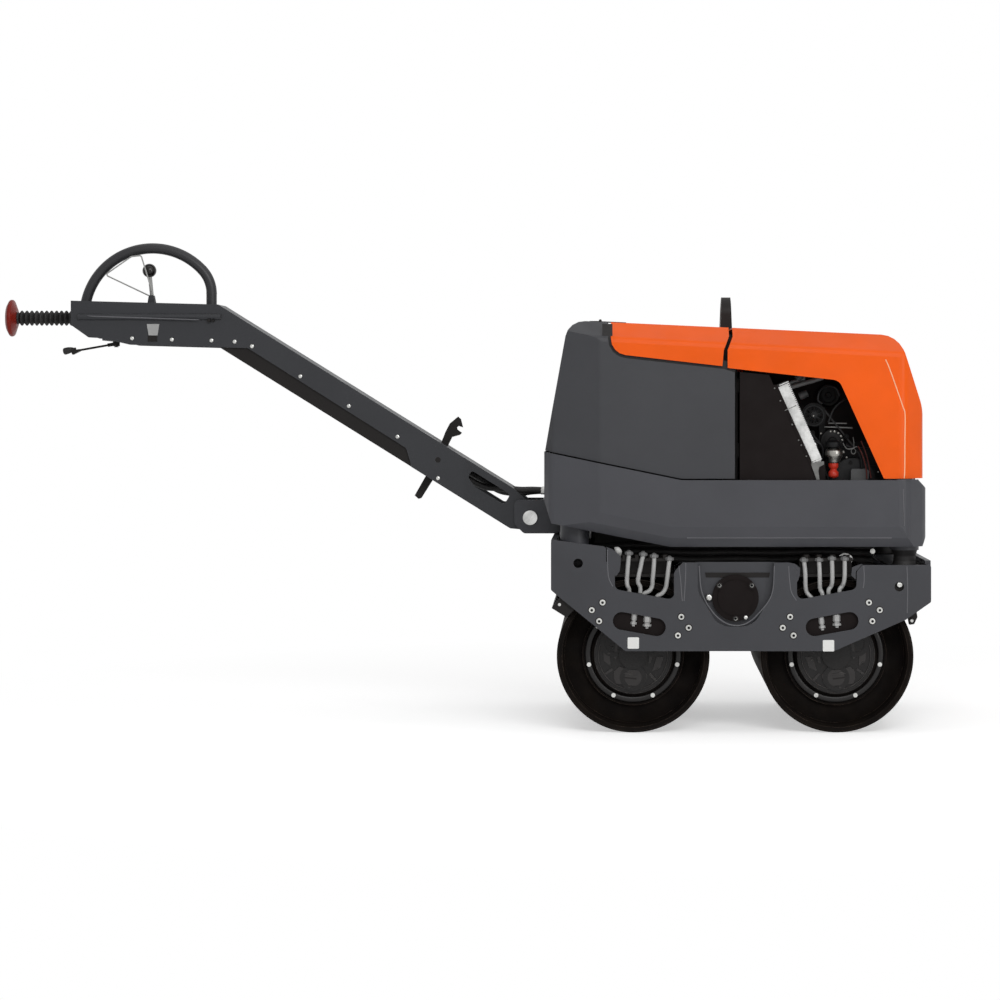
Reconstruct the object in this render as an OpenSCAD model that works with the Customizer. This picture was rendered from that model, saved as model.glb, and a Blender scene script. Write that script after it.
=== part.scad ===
// Walk behind vibratory roller: two driven drums in a lower frame, an upper
// body on rubber isolators, and a steering arm with a control head.
// Millimetres, +X forward, -Y the operator's right-hand side, +Z up.

/* [Drums] */
// Outer diameter of each drum
drum_d = 420; // [380:5:450]
// Length of each drum along its axis
drum_w = 750; // [650:10:800]
// Distance between the two drum axes
drum_spacing = 560; // [530:5:600]
// Wall of the drum shell
drum_wall = 20; // [14:1:26]
// Depth of the drum head below the drum's end face
head_inset = 70; // [50:5:90]
// Thickness of the drum head
head_t = 16; // [10:1:20]

/* [Lower frame] */
// Reach of the frame behind the middle of the drums
frame_rear = 505; // [480:5:520]
// Reach of the frame ahead of the middle of the drums
frame_front = 534; // [515:1:560]
// Thickness of the two side plates
plate_t = 12; // [8:1:16]
// Gap between a drum's end face and the side plate
plate_gap = 23; // [18:1:30]
// Height of the side plates' lower edge above the ground
plate_bottom = 227; // [215:1:240]
// Height of the side plates between their lower edge and their middle top edge
plate_h = 242; // [230:1:250]
// Thickness of the end bumpers and the scrapers' brackets
bumper_t = 10; // [6:1:14]
// Diameter of a lashing hole
lash_hole_d = 26; // [20:1:32]
// Wall of the exciter tube across the frame
exciter_wall = 10; // [6:1:14]

/* [Upper body] */
// Width of the hood, lid and rear cover
body_w = 800; // [760:5:820]
// Reach of the covers ahead of the middle of the drums
body_front = 519; // [500:1:530]
// Reach of the covers behind the middle of the drums
body_rear = 525; // [500:1:540]
// Height of the roof at its rear end
roof_rear = 1133; // [1110:1:1150]
// Height of the roof at its front end
roof_front = 1092; // [1075:1:1105]
// Wall of the covers
cover_wall = 4; // [3:0.5:6]
// Gap between neighbouring covers
cover_gap = 8; // [5:0.5:11]
// Height of the engine bed's top edge
bed_top = 694; // [680:1:710]
// Height of the engine bed's underside
bed_bottom = 511; // [500:1:520]
// Wall of the engine bed
bed_wall = 6; // [5:0.5:8]
// Height of the lifting eye's top above the ground
lift_top = 1208; // [1190:1:1230]
// Radius of the hole in the lifting eye
lift_hole_r = 20; // [14:1:22]

/* [Drawbar] */
// Distance of the drawbar's pivot behind the middle of the drums
pivot_back = 572; // [562:1:580]
// Height of the drawbar's pivot
pivot_h = 578; // [570:1:586]
// Radius of the drawbar's pivot pin
pivot_r = 15; // [12:0.5:17]
// Rise of the drawbar above the level
arm_angle = 31.9; // [28:0.1:35]
// Length of the drawbar from its pivot to the bend in its top edge
arm_l = 1077; // [1050:1:1090]
// Depth of the drawbar square to its length
arm_d = 102; // [90:1:110]
// Width of the drawbar
arm_w = 160; // [140:2:180]
// Plate of the drawbar
arm_t = 6; // [4:0.5:8]
// Length of the control head
head_l = 420; // [405:1:435]
// Depth of the control head
head_d = 123; // [115:1:130]
// Diameter of the loop handle's tube
loop_d = 30; // [26:1:34]
// Height of the loop handle's centre line above the bend in the drawbar
loop_h = 164; // [155:1:170]

/* [Running fits] */
// Radial clearance of a shaft in its bearing
fit = 0.05; // [0.02:0.01:0.08]
// Clearance between parts that move past each other
clear = 1; // [0.6:0.1:1.5]
// Gap at a seat that is not a fit
seat = 0.3; // [0.2:0.05:0.4]

/* [Hidden] */
$fn = 48;

dark = "#4d4f53";
black = "#221e1c";
orange = "#f76821";
steel = "#b8b9ba";
grey = "#7d7f82";
light = "#c9c9c7";
rubber = "#1b1a1a";
red = "#c8281e";

// Overrun of every cut past the face that it leaves
over = 2;

// Half sizes and the main places of the lower frame
drum_r = drum_d / 2;
half_axle = drum_spacing / 2;
drum_end = drum_w / 2;
plate_in = drum_end + plate_gap;
plate_out = plate_in + plate_t;
plate_top = plate_bottom + plate_h;
head_out = drum_end - head_inset;

// The arm's own directions: along it and square to it
arm_along = [-cos(arm_angle), sin(arm_angle)];
arm_up = [sin(arm_angle), cos(arm_angle)];
pivot = [-pivot_back, pivot_h];
function on_arm(s, t) = pivot + s * arm_along + t * arm_up;
arm_top_share = 0.44;
arm_top_t = arm_top_share * arm_d;
arm_low_t = arm_top_t - arm_d;
bend = on_arm(arm_l, arm_top_t);
head_rear = bend[0] - head_l;

// The stop pad at the very end of the control head
bellows_l = 169;
pad_t = 28;
pad_h_share = 0.3;
pad_end = head_rear - bellows_l - pad_t;
pad_z = bend[1] - pad_h_share * head_d;

// The row stands with the middle of its outline over the origin
origin_x = -(pad_end + frame_front) / 2;

function unit(v) = v / norm(v);
function wrap(i, n) = (i + n) % n;

// The arc that rounds corner p between its neighbours a and b
function corner(p, a, b, r, n) = r <= 0 ? [p] :
  let (
    u = unit(a - p),
    v = unit(b - p),
    half = acos(u * v) / 2,
    c = p + unit(u + v) * r / sin(half),
    s = p + u * r / tan(half) - c,
    e = p + v * r / tan(half) - c,
    from = atan2(s[1], s[0]),
    turn = (atan2(e[1], e[0]) - from + 540) % 360 - 180
  )
  [for (i = [0:n]) c + r * [cos(from + turn * i / n), sin(from + turn * i / n)]];

// An outline with rounded corners; rs is one radius or one for each point
function rounded(pts, rs, n = 4) =
  let (m = len(pts))
  [for (i = [0:m - 1])
    each corner(pts[i], pts[wrap(i - 1, m)], pts[wrap(i + 1, m)], is_list(rs) ? rs[i] : rs, n)];

// An outline, drawn anticlockwise, moved inward by d
function inset_points(pts, d) =
  let (m = len(pts))
  [for (i = [0:m - 1])
    let (
      u = unit(pts[wrap(i - 1, m)] - pts[i]),
      v = unit(pts[wrap(i + 1, m)] - pts[i]),
      inward = cross(u, v) < 0 ? 1 : -1
    )
    pts[i] + inward * unit(u + v) * d / sin(acos(u * v) / 2)];

function less(rs, d) = [for (r = rs) max(0, r - d)];

// Points of a table of shares, measured from a corner in two named sizes
function placed_points(shares, from, sizes) =
  [for (s = shares) [from[0] + s[0] * sizes[0], from[1] + s[1] * sizes[1]]];

module placed() {
  translate([origin_x, 0, 0]) children();
}

module both_sides() {
  children();
  mirror([0, 1, 0]) children();
}

// An upright side-view outline drawn in X and Z, between two places along Y
module across(y0, y1) {
  translate([0, y1, 0])
    rotate([90, 0, 0])
      linear_extrude(y1 - y0) children();
}

module box(x0, x1, y0, y1, z0, z1) {
  translate([x0, y0, z0]) cube([x1 - x0, y1 - y0, z1 - z0]);
}

// A cylinder along Y about a side-view point
module rod(at, y0, y1, r) {
  translate([at[0], y1, at[1]])
    rotate([90, 0, 0]) cylinder(h = y1 - y0, r = r);
}

// A cylinder between two points in space
module bar(from, to, r) {
  d = to - from;
  translate(from)
    rotate([0, acos(d[2] / norm(d)), atan2(d[1], d[0])])
      cylinder(h = norm(d), r = r);
}

// A screw along Y: a round-flanged head that stands on the face at y, and a shank to y + shank_l
module screw(at, y, r, shank_r, shank_l) {
  rod(at, y - r / 3, y, r);
  rod(at, y - r, y - r / 3 + r / 6, r * 3 / 4);
  if (shank_l > 0) rod(at, y - r / 6, y + shank_l, shank_r);
}

// A round tube or rod through points in space, bent to radius bend_r at each inner point.
// A slim collar closes each joint between a straight run and its bend.
module bent(pts, r, bend_r) {
  m = len(pts);
  trim = [for (i = [0:m - 1]) i == 0 || i == m - 1 ? 0 :
    bend_r / tan(acos(unit(pts[i - 1] - pts[i]) * unit(pts[i + 1] - pts[i])) / 2)];
  collar = r / 8;
  for (i = [0:m - 2])
    let (u = unit(pts[i + 1] - pts[i])) {
      bar(pts[i] + u * trim[i], pts[i + 1] - u * trim[i + 1], r);
      if (i > 0)
        bar(pts[i] + u * (trim[i] - collar), pts[i] + u * (trim[i] + collar), r + collar / 4);
      if (i < m - 2)
        bar(pts[i + 1] - u * (trim[i + 1] + collar), pts[i + 1] - u * (trim[i + 1] - collar),
          r + collar / 4);
    }
  for (i = [1:m - 2])
    let (
      u = unit(pts[i - 1] - pts[i]),
      v = unit(pts[i + 1] - pts[i]),
      half = acos(u * v) / 2,
      c = pts[i] + unit(u + v) * bend_r / sin(half),
      x = unit(pts[i] + u * trim[i] - c),
      z = cross(x, -u)
    )
      multmatrix([
        [x[0], -u[0], z[0], c[0]],
        [x[1], -u[1], z[1], c[1]],
        [x[2], -u[2], z[2], c[2]],
      ])
        rotate_extrude(angle = 180 - 2 * half)
          translate([bend_r, 0]) circle(r = r);
}

// Lower frame: the side plates' outline, as shares of the frame's reach and the plate's height
plate_shares = [
  [-1, 0.69], [-0.956, 0.612], [-0.596, 0], [0.502, 0], [0.871, 0.355], [1, 0.554],
  [1, 1.029], [0.974, 0.971], [0.667, 0.971], [0.272, 1], [-0.267, 1], [-0.65, 1.05],
  [-0.679, 1.12], [-0.713, 1.182], [-1, 1.256],
];
plate_points = [for (s = plate_shares)
  [s[0] * (s[0] < 0 ? frame_rear : frame_front), plate_bottom + s[1] * plate_h]];

// Each drum's fittings lean toward the middle of the roller by this angle
lean = 10.3;
function on_drum(side, r, a) =
  [side * half_axle + r * sin(a - side * lean), drum_r + r * cos(a - side * lean)];
notch_w = 163;
notch_low = 0.829 * drum_r;
notch_flare = 24;
notch_round = 16;
slot_at = 0.44 * drum_r;
slot_l = 146;
slot_w = 49;
// Each carrier's screws: radius as a share of the drum's, and angle from the leaning axis
screw_shares = [[0.819, 39.5], [0.819, 51.5], [0.648, 53.5]];
screw_r = 6;
exciter_z = 371.6;
pocket_r = 104;
pocket_low = 294;
pocket_depth = 26;
pan_t = 6;
bolt_round = 64;

// The opening in a side plate's top edge over each drum
module notch(side) {
  mid = side * (half_axle - notch_low * sin(lean));
  floor_z = drum_r + notch_low * cos(lean);
  rise = side * notch_w / 2 * tan(lean);
  half = notch_w / 2;
  pts = [
    [mid - half, floor_z - rise], [mid + half, floor_z + rise],
    [mid + half, plate_top - notch_flare], [mid + half + notch_flare, plate_top + over],
    [mid + half + notch_flare, plate_top + plate_h / 2],
    [mid - half - notch_flare, plate_top + plate_h / 2],
    [mid - half - notch_flare, plate_top + over], [mid - half, plate_top - notch_flare],
  ];
  polygon(rounded(pts, [notch_round, notch_round, notch_round, 0, 0, 0, 0, notch_round]));
}

// The round-bottomed pocket round the exciter's end, grown by d
module pocket(d) {
  r = pocket_r + d;
  low = pocket_low - d;
  pts = [
    [-r, plate_top + over], [-r, exciter_z + pan_t * 3], [-r * 0.45, low],
    [r * 0.45, low], [r, exciter_z + pan_t * 3], [r, plate_top + over],
  ];
  polygon(rounded(pts, [0, r * 0.45, r * 0.55, r * 0.55, r * 0.45, 0], 6));
}

lash_rear = [-0.853 * frame_rear, plate_bottom + 0.992 * plate_h];
lash_front = [0.837 * frame_front, plate_bottom + 0.727 * plate_h];

// One side plate, drawn on the operator's right
module side_plate() {
  difference() {
    union() {
      across(-plate_out, -plate_in) polygon(rounded(plate_points, plate_t * 2 / 3));
      across(-plate_out, -plate_out + pocket_depth + pan_t)
        intersection() {
          pocket(pan_t);
          translate([-frame_rear, 0]) square([frame_rear + frame_front, plate_top]);
        }
    }
    across(-plate_out - over, -plate_out + pocket_depth) pocket(0);
    for (side = [-1, 1]) {
      across(-plate_out - over, -plate_in + over) notch(side);
      at = on_drum(side, slot_at, 0);
      translate([at[0], 0, at[1]])
        rotate([0, -side * lean, 0]) {
          half = (slot_l - slot_w) / 2;
          box(-half, half, -plate_out - over, -plate_in + over, -slot_w / 2, slot_w / 2);
          for (e = [-1, 1])
            rod([e * half, 0], -plate_out - over, -plate_in + over, slot_w / 2);
        }
      for (e = [-1, 1], s = screw_shares)
        rod(on_drum(side, s[0] * drum_r, e * s[1]), -plate_out - over, -plate_in + over,
          screw_r + seat);
    }
    for (at = [lash_rear, lash_front])
      rod(at, -plate_out - over, -plate_in + over, lash_hole_d / 2);
    rod([0, exciter_z], -plate_out, -plate_in + pocket_depth + over, bolt_round);
  }
}

module side_plate_right() {
  color(dark) placed() side_plate();
}

module side_plate_left() {
  color(dark) placed() mirror([0, 1, 0]) side_plate();
}

// An end bumper: a plate across the frame between the side plates, with its top edge turned in
shelf_l = 100;
shelf_z = 452;
shelf_t = 8;
module bumper(x, dir, low, high, radius) {
  pts = [
    [x, low], [x, high], [x - dir * bumper_t * 1.5, high], [x - dir * bumper_t * 1.5, high - bumper_t],
    [x - dir * bumper_t, high - bumper_t], [x - dir * bumper_t, low],
  ];
  across(-plate_in, plate_in) polygon(pts);
  for (z = [shelf_z - shelf_t])
    box(min(x - dir * bumper_t, x - dir * shelf_l), max(x - dir * bumper_t, x - dir * shelf_l),
      -plate_in, plate_in, z, z + shelf_t);
}

module front_bumper() {
  color(dark) placed()
    bumper(frame_front, 1, plate_bottom + 0.56 * plate_h, plate_bottom + 1.02 * plate_h);
}

module rear_bumper() {
  color(dark) placed()
    bumper(-frame_rear, -1, plate_bottom + 0.7 * plate_h, plate_bottom + 1.25 * plate_h);
}

// Two bridges over the drums, each a plate with two upright ribs
beam_clear = 8;
beam_rib = 18;
module cross_beams() {
  color(dark) placed()
    for (side = [-1, 1]) {
      mid = side * (half_axle - notch_low * sin(lean));
      half = notch_w / 2 + shelf_t * 2;
      low = drum_d + beam_clear;
      difference() {
        box(mid - half, mid + half, -plate_in, plate_in, low, low + shelf_t);
        both_sides()
          box(mid - notch_w / 2, mid + notch_w / 2, -plate_in - over, -pipe_y + pipe_r * 2,
            low - over, low + shelf_t + over);
      }
      for (e = [-1, 1])
        box(mid + e * half - (e + 1) / 2 * shelf_t, mid + e * half - (e - 1) / 2 * shelf_t,
          -plate_in, plate_in, low + shelf_t, low + shelf_t + beam_rib);
    }
}

// Exciter: a tube across the frame with a flange at each end, and the shaft with its weights
exciter_r = 58;
exciter_shaft_r = 17;
bearing_w = 20;
cover_t = 10;
exciter_at = [0, exciter_z];
pan_face = plate_out - pocket_depth;
exciter_flange_in = plate_out - pocket_depth - pan_t;

module exciter_housing() {
  color(dark) placed()
    difference() {
      union() {
        rod(exciter_at, -exciter_flange_in, exciter_flange_in, exciter_r);
        for (side = [-1, 1])
          rod(exciter_at, side * exciter_flange_in - (side + 1) / 2 * exciter_wall,
            side * exciter_flange_in - (side - 1) / 2 * exciter_wall, exciter_r + exciter_wall);
      }
      rod(exciter_at, -plate_out, plate_out, exciter_r - exciter_wall);
    }
}

// A round cover on the pocket's floor, with a stepped rim, and a spigot into the tube
module exciter_covers() {
  spigot_r = exciter_r - exciter_wall - seat;
  color(black) placed()
    both_sides()
      difference() {
        union() {
          rod(exciter_at, -pan_face - cover_t, -pan_face + pan_t, bolt_round - seat);
          rod(exciter_at, -pan_face - cover_t - pan_t / 2, -pan_face, bolt_round - pan_t * 2.6);
          rod(exciter_at, -pan_face, -pan_face + bearing_w, spigot_r);
        }
        rod(exciter_at, -pan_face + pan_t / 2, -pan_face + bearing_w + over, spigot_r - pan_t);
      }
}

module exciter_bearings() {
  place = exciter_flange_in - bearing_w * 2;
  color(steel) placed()
    both_sides()
      difference() {
        rod(exciter_at, -place, -place + bearing_w, exciter_r - exciter_wall);
        rod(exciter_at, -place - over, -place + bearing_w + over, exciter_shaft_r + fit);
      }
}

// The shaft carries two half-round weights
module exciter_shaft() {
  end = exciter_flange_in - bearing_w;
  weight_r = exciter_r - exciter_wall - clear * 3;
  color(steel) placed() {
    rod(exciter_at, -end, end, exciter_shaft_r);
    for (e = [-1, 1])
      difference() {
        rod(exciter_at, e * plate_in / 2 - bearing_w * 3, e * plate_in / 2 + bearing_w * 3, weight_r);
        rod(exciter_at, -plate_in, plate_in, exciter_shaft_r - seat);
        box(-weight_r * 2, weight_r * 2, -plate_in, plate_in,
          exciter_z, exciter_z + weight_r * 2);
      }
  }
}

// Drums
rim_bevel = 5;
hub_bore_share = 0.515;
hub_bore = hub_bore_share * drum_r;
hub_flange_r = 0.67 * drum_r;
hub_ring_r = 0.595 * drum_r;
hub_bolts = 7;
hub_wall = 9;
hub_flange_t = 12;
hub_depth = 110;
hub_floor = 12;
axle_r = 20;
stub_r = 35;
carrier_r = hub_bore;
carrier_t = 16;
carrier_out = head_out + hub_flange_t + clear + carrier_t;

module drum(side) {
  at = [side * half_axle, drum_r];
  shell = [
    [drum_r - drum_wall, -drum_end + rim_bevel * 2], [drum_r - drum_wall + rim_bevel, -drum_end],
    [drum_r - rim_bevel, -drum_end], [drum_r, -drum_end + rim_bevel],
    [drum_r, drum_end - rim_bevel], [drum_r - rim_bevel, drum_end],
    [drum_r - drum_wall + rim_bevel, drum_end], [drum_r - drum_wall, drum_end - rim_bevel * 2],
  ];
  translate([at[0], 0, at[1]]) rotate([90, 0, 0]) {
    rotate_extrude($fn = 96) polygon(shell);
    for (e = [-1, 1])
      translate([0, 0, e * (head_out - head_t / 2)])
        difference() {
          cylinder(h = head_t, r = drum_r - drum_wall, center = true, $fn = 96);
          cylinder(h = head_t + over * 2, r = hub_bore, center = true);
        }
  }
}

// A hub is a flanged cup let into the drum head
module drum_hub(side, shaft) {
  barrel = hub_bore - seat;
  deep = head_out - hub_depth;
  at = [side * half_axle, drum_r];
  difference() {
    union() {
      rod(at, -head_out - hub_flange_t, -head_out, hub_flange_r);
      rod(at, -head_out, -deep, barrel);
      if (!shaft) rod(at, -deep - hub_floor * 4, -deep, stub_r + hub_wall);
    }
    difference() {
      rod(at, -head_out - hub_flange_t - over, -deep - hub_floor, barrel - hub_wall);
      if (!shaft) rod(at, -deep - hub_floor * 4, -deep, stub_r + hub_wall);
    }
    if (!shaft) rod(at, -plate_in, -deep + over, stub_r + fit);
    for (i = [0:hub_bolts - 1])
      rod(at + hub_ring_r * [sin(i * 360 / hub_bolts), cos(i * 360 / hub_bolts)],
        -head_out - hub_flange_t - over, -head_out + over, screw_r + seat);
  }
  if (shaft) rod(at, -carrier_out + carrier_t * 2, -deep, axle_r);
}

module hub_screws(side) {
  both_sides()
    for (i = [0:hub_bolts - 1]) {
      at = [side * half_axle, drum_r]
        + hub_ring_r * [sin(i * 360 / hub_bolts), cos(i * 360 / hub_bolts)];
      screw(at, -head_out - hub_flange_t, screw_r * 4 / 3, screw_r, hub_flange_t);
    }
}

module front_drum() {
  color(black) placed() drum(1);
}

module rear_drum() {
  color(black) placed() drum(-1);
}

module hub_pair(side) {
  drum_hub(side, true);
  mirror([0, 1, 0]) drum_hub(side, false);
}

module front_drum_hub() {
  color(black) placed() hub_pair(1);
}

module rear_drum_hub() {
  color(black) placed() hub_pair(-1);
}

module front_hub_bolts() {
  color(steel) placed() hub_screws(1);
}

module rear_hub_bolts() {
  color(steel) placed() hub_screws(-1);
}

// A carrier hangs from the side plate: a flange behind the plate, two ribs, and a round disc
carrier_flange = 10;
carrier_span = 60;
carrier_edge = 0.855 * drum_r;
carrier_dip = 0.66 * drum_r;
module carrier(side, stub) {
  at = [side * half_axle, drum_r];
  inner = 0.52 * drum_r;
  steps = 10;
  arc = [for (i = [-steps:steps])
    on_drum(side, abs(i) < steps / 2 ? carrier_dip : carrier_edge, i / steps * carrier_span)];
  back = [for (i = [-steps:steps]) on_drum(side, inner, -i / steps * carrier_span)];
  difference() {
    union() {
      across(-plate_in, -plate_in + carrier_flange) polygon(concat(arc, back));
      for (e = [-1, 1]) {
        r0 = on_drum(side, carrier_r / 2, e * carrier_span);
        r1 = on_drum(side, carrier_r / 2, e * (carrier_span - carrier_flange));
        r2 = on_drum(side, carrier_edge, e * (carrier_span - carrier_flange / 3));
        r3 = on_drum(side, carrier_edge, e * carrier_span);
        across(-plate_in, -carrier_out + over) polygon([r0, r1, r2, r3]);
      }
      rod(at, -carrier_out, -carrier_out + carrier_t, carrier_r);
      rod(at, -carrier_out - hub_wall, -carrier_out, carrier_r * 0.36);
      for (i = [0:2])
        rod(at + carrier_r * 0.58 * [sin(60 + i * 120), cos(60 + i * 120)],
          -carrier_out - hub_wall / 2, -carrier_out, carrier_r * 0.34);
    }
    for (e = [-1, 1], s = screw_shares)
      rod(on_drum(side, s[0] * drum_r, e * s[1]), -plate_in - over,
        -plate_in + carrier_flange + over, screw_r + seat);
    if (!stub) rod(at, -carrier_out + carrier_t / 2, -carrier_out + carrier_t + over, axle_r + clear);
    for (i = [0:2])
      rod(at + carrier_r * 0.58 * [sin(60 + i * 120), cos(60 + i * 120)],
        -carrier_out - hub_wall, -carrier_out - hub_wall / 4, carrier_r * 0.22);
  }
  if (stub) rod(at, -carrier_out + carrier_t, -head_out + hub_depth - hub_floor, stub_r);
}

module front_drum_carriers() {
  color(grey) placed() {
    carrier(1, false);
    mirror([0, 1, 0]) carrier(1, true);
  }
}

module rear_drum_carriers() {
  color(grey) placed() {
    carrier(-1, false);
    mirror([0, 1, 0]) carrier(-1, true);
  }
}

// A drive motor sits behind each right-hand carrier, inside the hub's cup
motor_r = 62;
module drive_motors() {
  color(grey) placed()
    for (side = [-1, 1]) {
      at = [side * half_axle, drum_r];
      near = -carrier_out + carrier_t;
      far = -head_out + hub_depth - hub_floor - clear * 3;
      difference() {
        union() {
          rod(at, near, far, motor_r);
          rod(at, near, near + hub_floor, motor_r + hub_wall);
        }
        rod(at, near - over, far + over, axle_r + fit);
      }
    }
}

// Hydraulic unions seen in the slots, on a port block under them
union_r = 11;
union_gap = 37;
module motor_fittings() {
  y = -plate_in + plate_gap * 0.55;
  color(steel) placed()
    for (side = [-1, 1]) {
      mid = on_drum(side, slot_at, 0);
      base = mid[1] - slot_w / 2;
      box(mid[0] - union_gap, mid[0] + union_gap, -carrier_out - union_r * 2.4,
        -carrier_out - hub_wall / 2, base - union_r * 2, base);
      for (e = [-1, 1]) {
        x = mid[0] + e * union_gap / 2;
        out = -carrier_out - union_r * 1.4;
        translate([x, out, base]) {
          cylinder(h = union_r, r = union_r, $fn = 6);
          cylinder(h = union_r * 2.6, r = union_r * 0.7);
          translate([0, 0, union_r * 1.6]) cylinder(h = union_r * 1.2, r = union_r * 1.05, $fn = 6);
          translate([0, 0, union_r * 2.8]) cylinder(h = union_r, r = union_r * 0.6);
        }
      }
    }
}

// Screws through the side plates into the carriers, and round the exciter covers
cover_screws = [-52, 52, 180];
module frame_bolts() {
  color(steel) placed()
    both_sides() {
      for (side = [-1, 1], e = [-1, 1], s = screw_shares) {
        at = on_drum(side, s[0] * drum_r, e * s[1]);
        screw(at, -plate_out, screw_r * 4 / 3, screw_r, plate_t + carrier_flange);
      }
      for (a = cover_screws)
        screw(exciter_at + (bolt_round - pan_t * 1.3) * [sin(a), cos(a)],
          -pan_face - cover_t, screw_r, screw_r / 2, 0);
    }
}

// A scraper bar lies along each drum's outer side and is held by an ear at each end
scraper_angle = 58;
scraper_l = 48;
module scrapers() {
  color(steel) placed()
    for (side = [-1, 1]) {
      dir = [side * sin(scraper_angle), cos(scraper_angle)];
      square_to = [dir[1], -dir[0]];
      at = [side * half_axle, drum_r];
      near = at + dir * (drum_r + clear * 2);
      far = near + dir * scraper_l;
      half = square_to * bumper_t / 2;
      across(-plate_in, plate_in) polygon([near - half, near + half, far + half, far - half]);
      reach = side < 0 ? frame_rear : frame_front;
      both_sides()
        across(-plate_in, -plate_in + bumper_t)
          polygon([near - half, far - half, far + half,
            [side * reach * 0.9, plate_bottom + plate_h * 0.72],
            [side * reach * 0.8, plate_bottom + plate_h * 0.62]]);
    }
}

// Four rubber isolators carry the upper body on the frame's end shelves
isolator_r = 36;
isolator_top = bed_bottom - 12;
isolator_y_share = 0.78;
isolator_y = isolator_y_share * plate_in;
isolator_x = [-(frame_rear - shelf_l * 0.63), frame_front - shelf_l * 0.63];
module isolators() {
  h = isolator_top - shelf_z;
  color(rubber) placed()
    both_sides()
      for (x = isolator_x)
        translate([x, -isolator_y, shelf_z]) {
          cylinder(h = h / 8, r = isolator_r * 1.1);
          rotate_extrude()
            polygon([[0, 0], [isolator_r, 0], [isolator_r * 0.86, h * 0.35],
              [isolator_r * 0.86, h * 0.65], [isolator_r, h], [0, h]]);
        }
}

// Bent steel pipes hang in each notch from the lip of a valve block on the bridge below it
pipe_r = 5.5;
pipe_bend = 14;
pipe_shares = [-0.34, -0.13, 0.1, 0.34];
pipe_turn_shares = [0.04, 0.04, 0.16, 0.16];
block_h = 44;
block_d = 46;
lip_t = 8;
beam_top = drum_d + beam_clear + shelf_t;
pipe_y = plate_in - pipe_r * 1.4;
block_y = pipe_y - pipe_r * 6;
module valve_blocks() {
  color(grey) placed()
    both_sides()
      for (side = [-1, 1]) {
        mid = side * (half_axle - notch_low * sin(lean));
        box(mid - notch_w * 0.44, mid + notch_w * 0.44, -block_y, -block_y + block_d,
          beam_top, beam_top + block_h);
        box(mid - notch_w * 0.44, mid + notch_w * 0.44, -pipe_y - pipe_r * 1.2, -block_y + block_d,
          beam_top + block_h - lip_t, beam_top + block_h);
        for (s = pipe_shares)
          translate([mid + s * notch_w, -pipe_y, beam_top + block_h - lip_t / 2])
            cylinder(h = pipe_r + lip_t, r = pipe_r * 1.7, $fn = 6);
      }
}

module hydraulic_pipes() {
  top = beam_top + block_h - lip_t;
  low = drum_r + notch_low;
  color(steel) placed()
    both_sides()
      for (side = [-1, 1], i = [0:len(pipe_shares) - 1]) {
        mid = side * (half_axle - notch_low * sin(lean));
        x = mid + pipe_shares[i] * notch_w;
        foot = x + side * pipe_turn_shares[i] * notch_w;
        bent([[x, -pipe_y, top], [x, -pipe_y, low + pipe_bend * 1.4],
          [foot, -pipe_y, low - pipe_bend * 0.6]], pipe_r, pipe_bend);
      }
}

// Upper body. Its covers are cut from one moulded form, the meeting of a side view,
// a plan view and a house-shaped cross-section that runs along the shoulder.
half_w = body_w / 2;
rear_knee = 762;
rear_set_back = 67;
front_knee = 887;
front_set_back = 72;
front_bevel = 55;
rear_taper_l = 154;
rear_taper_w = 28;
rear_corner_l = 21;
rear_corner_w = 42;
shoulder_rear = 1093;
shoulder_front = 1038;
shoulder_slope_share = 0.717;
skirt = 60;

side_outline = [
  [-body_rear, bed_bottom], [body_front, bed_bottom], [body_front, front_knee],
  [body_front - front_set_back, roof_front], [-body_rear + rear_set_back, roof_rear],
  [-body_rear, rear_knee],
];
side_rounds = [0, 0, 150, 62, 52, 60];
plan_outline = [
  [body_front - front_bevel, -half_w], [body_front, -half_w + front_bevel],
  [body_front, half_w - front_bevel], [body_front - front_bevel, half_w],
  [-body_rear + rear_taper_l, half_w], [-body_rear + rear_corner_l, half_w - rear_taper_w],
  [-body_rear, half_w - rear_taper_w - rear_corner_w],
  [-body_rear, -half_w + rear_taper_w + rear_corner_w],
  [-body_rear + rear_corner_l, -half_w + rear_taper_w], [-body_rear + rear_taper_l, -half_w],
];
plan_rounds = [40, 34, 34, 40, 60, 16, 16, 16, 16, 60];
house_outline = [
  [-half_w, -roof_rear], [half_w, -roof_rear], [half_w, 0],
  [0, half_w * shoulder_slope_share], [-half_w, 0],
];
house_rounds = [0, 0, 22, 0, 22];
shoulder_fall = atan((shoulder_rear - shoulder_front) / (body_front + body_rear));

module body_form(d) {
  reach = body_front + body_rear;
  intersection() {
    across(-body_w, body_w)
      polygon(rounded(inset_points(side_outline, d), less(side_rounds, d)));
    linear_extrude(roof_rear + over)
      polygon(rounded(inset_points(plan_outline, d), less(plan_rounds, d)));
    translate([-body_rear, 0, shoulder_rear])
      rotate([0, shoulder_fall, 0])
        translate([-reach / 2, 0, 0])
          rotate([90, 0, 90])
            linear_extrude(reach * 2)
              polygon(rounded(inset_points(house_outline, d), less(house_rounds, d)));
  }
}

module cover(pts, rounds) {
  intersection() {
    difference() {
      body_form(0);
      body_form(cover_wall);
    }
    across(-body_w, body_w) polygon(rounded(pts, rounds));
  }
}

// The lifting eye's way through the roof, which the lid and the hood share
eye_gap = 5;
module eye_way() {
  half = eye_t_low / 2 + eye_gap;
  box(portal_x - half, portal_x + half, -eye_wide / 2 - eye_gap, eye_wide / 2 + eye_gap,
    jog_high, sky);
}

// The bed's top edge climbs behind the middle, and the covers meet it with half a gap
climb_x = -148;
climb = 77;
sky = roof_rear + skirt;
half_gap = cover_gap / 2;
function bed_line(x) = bed_top + (x > climb_x ? 0 : (climb_x - x) * climb / (body_rear + climb_x));

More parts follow.
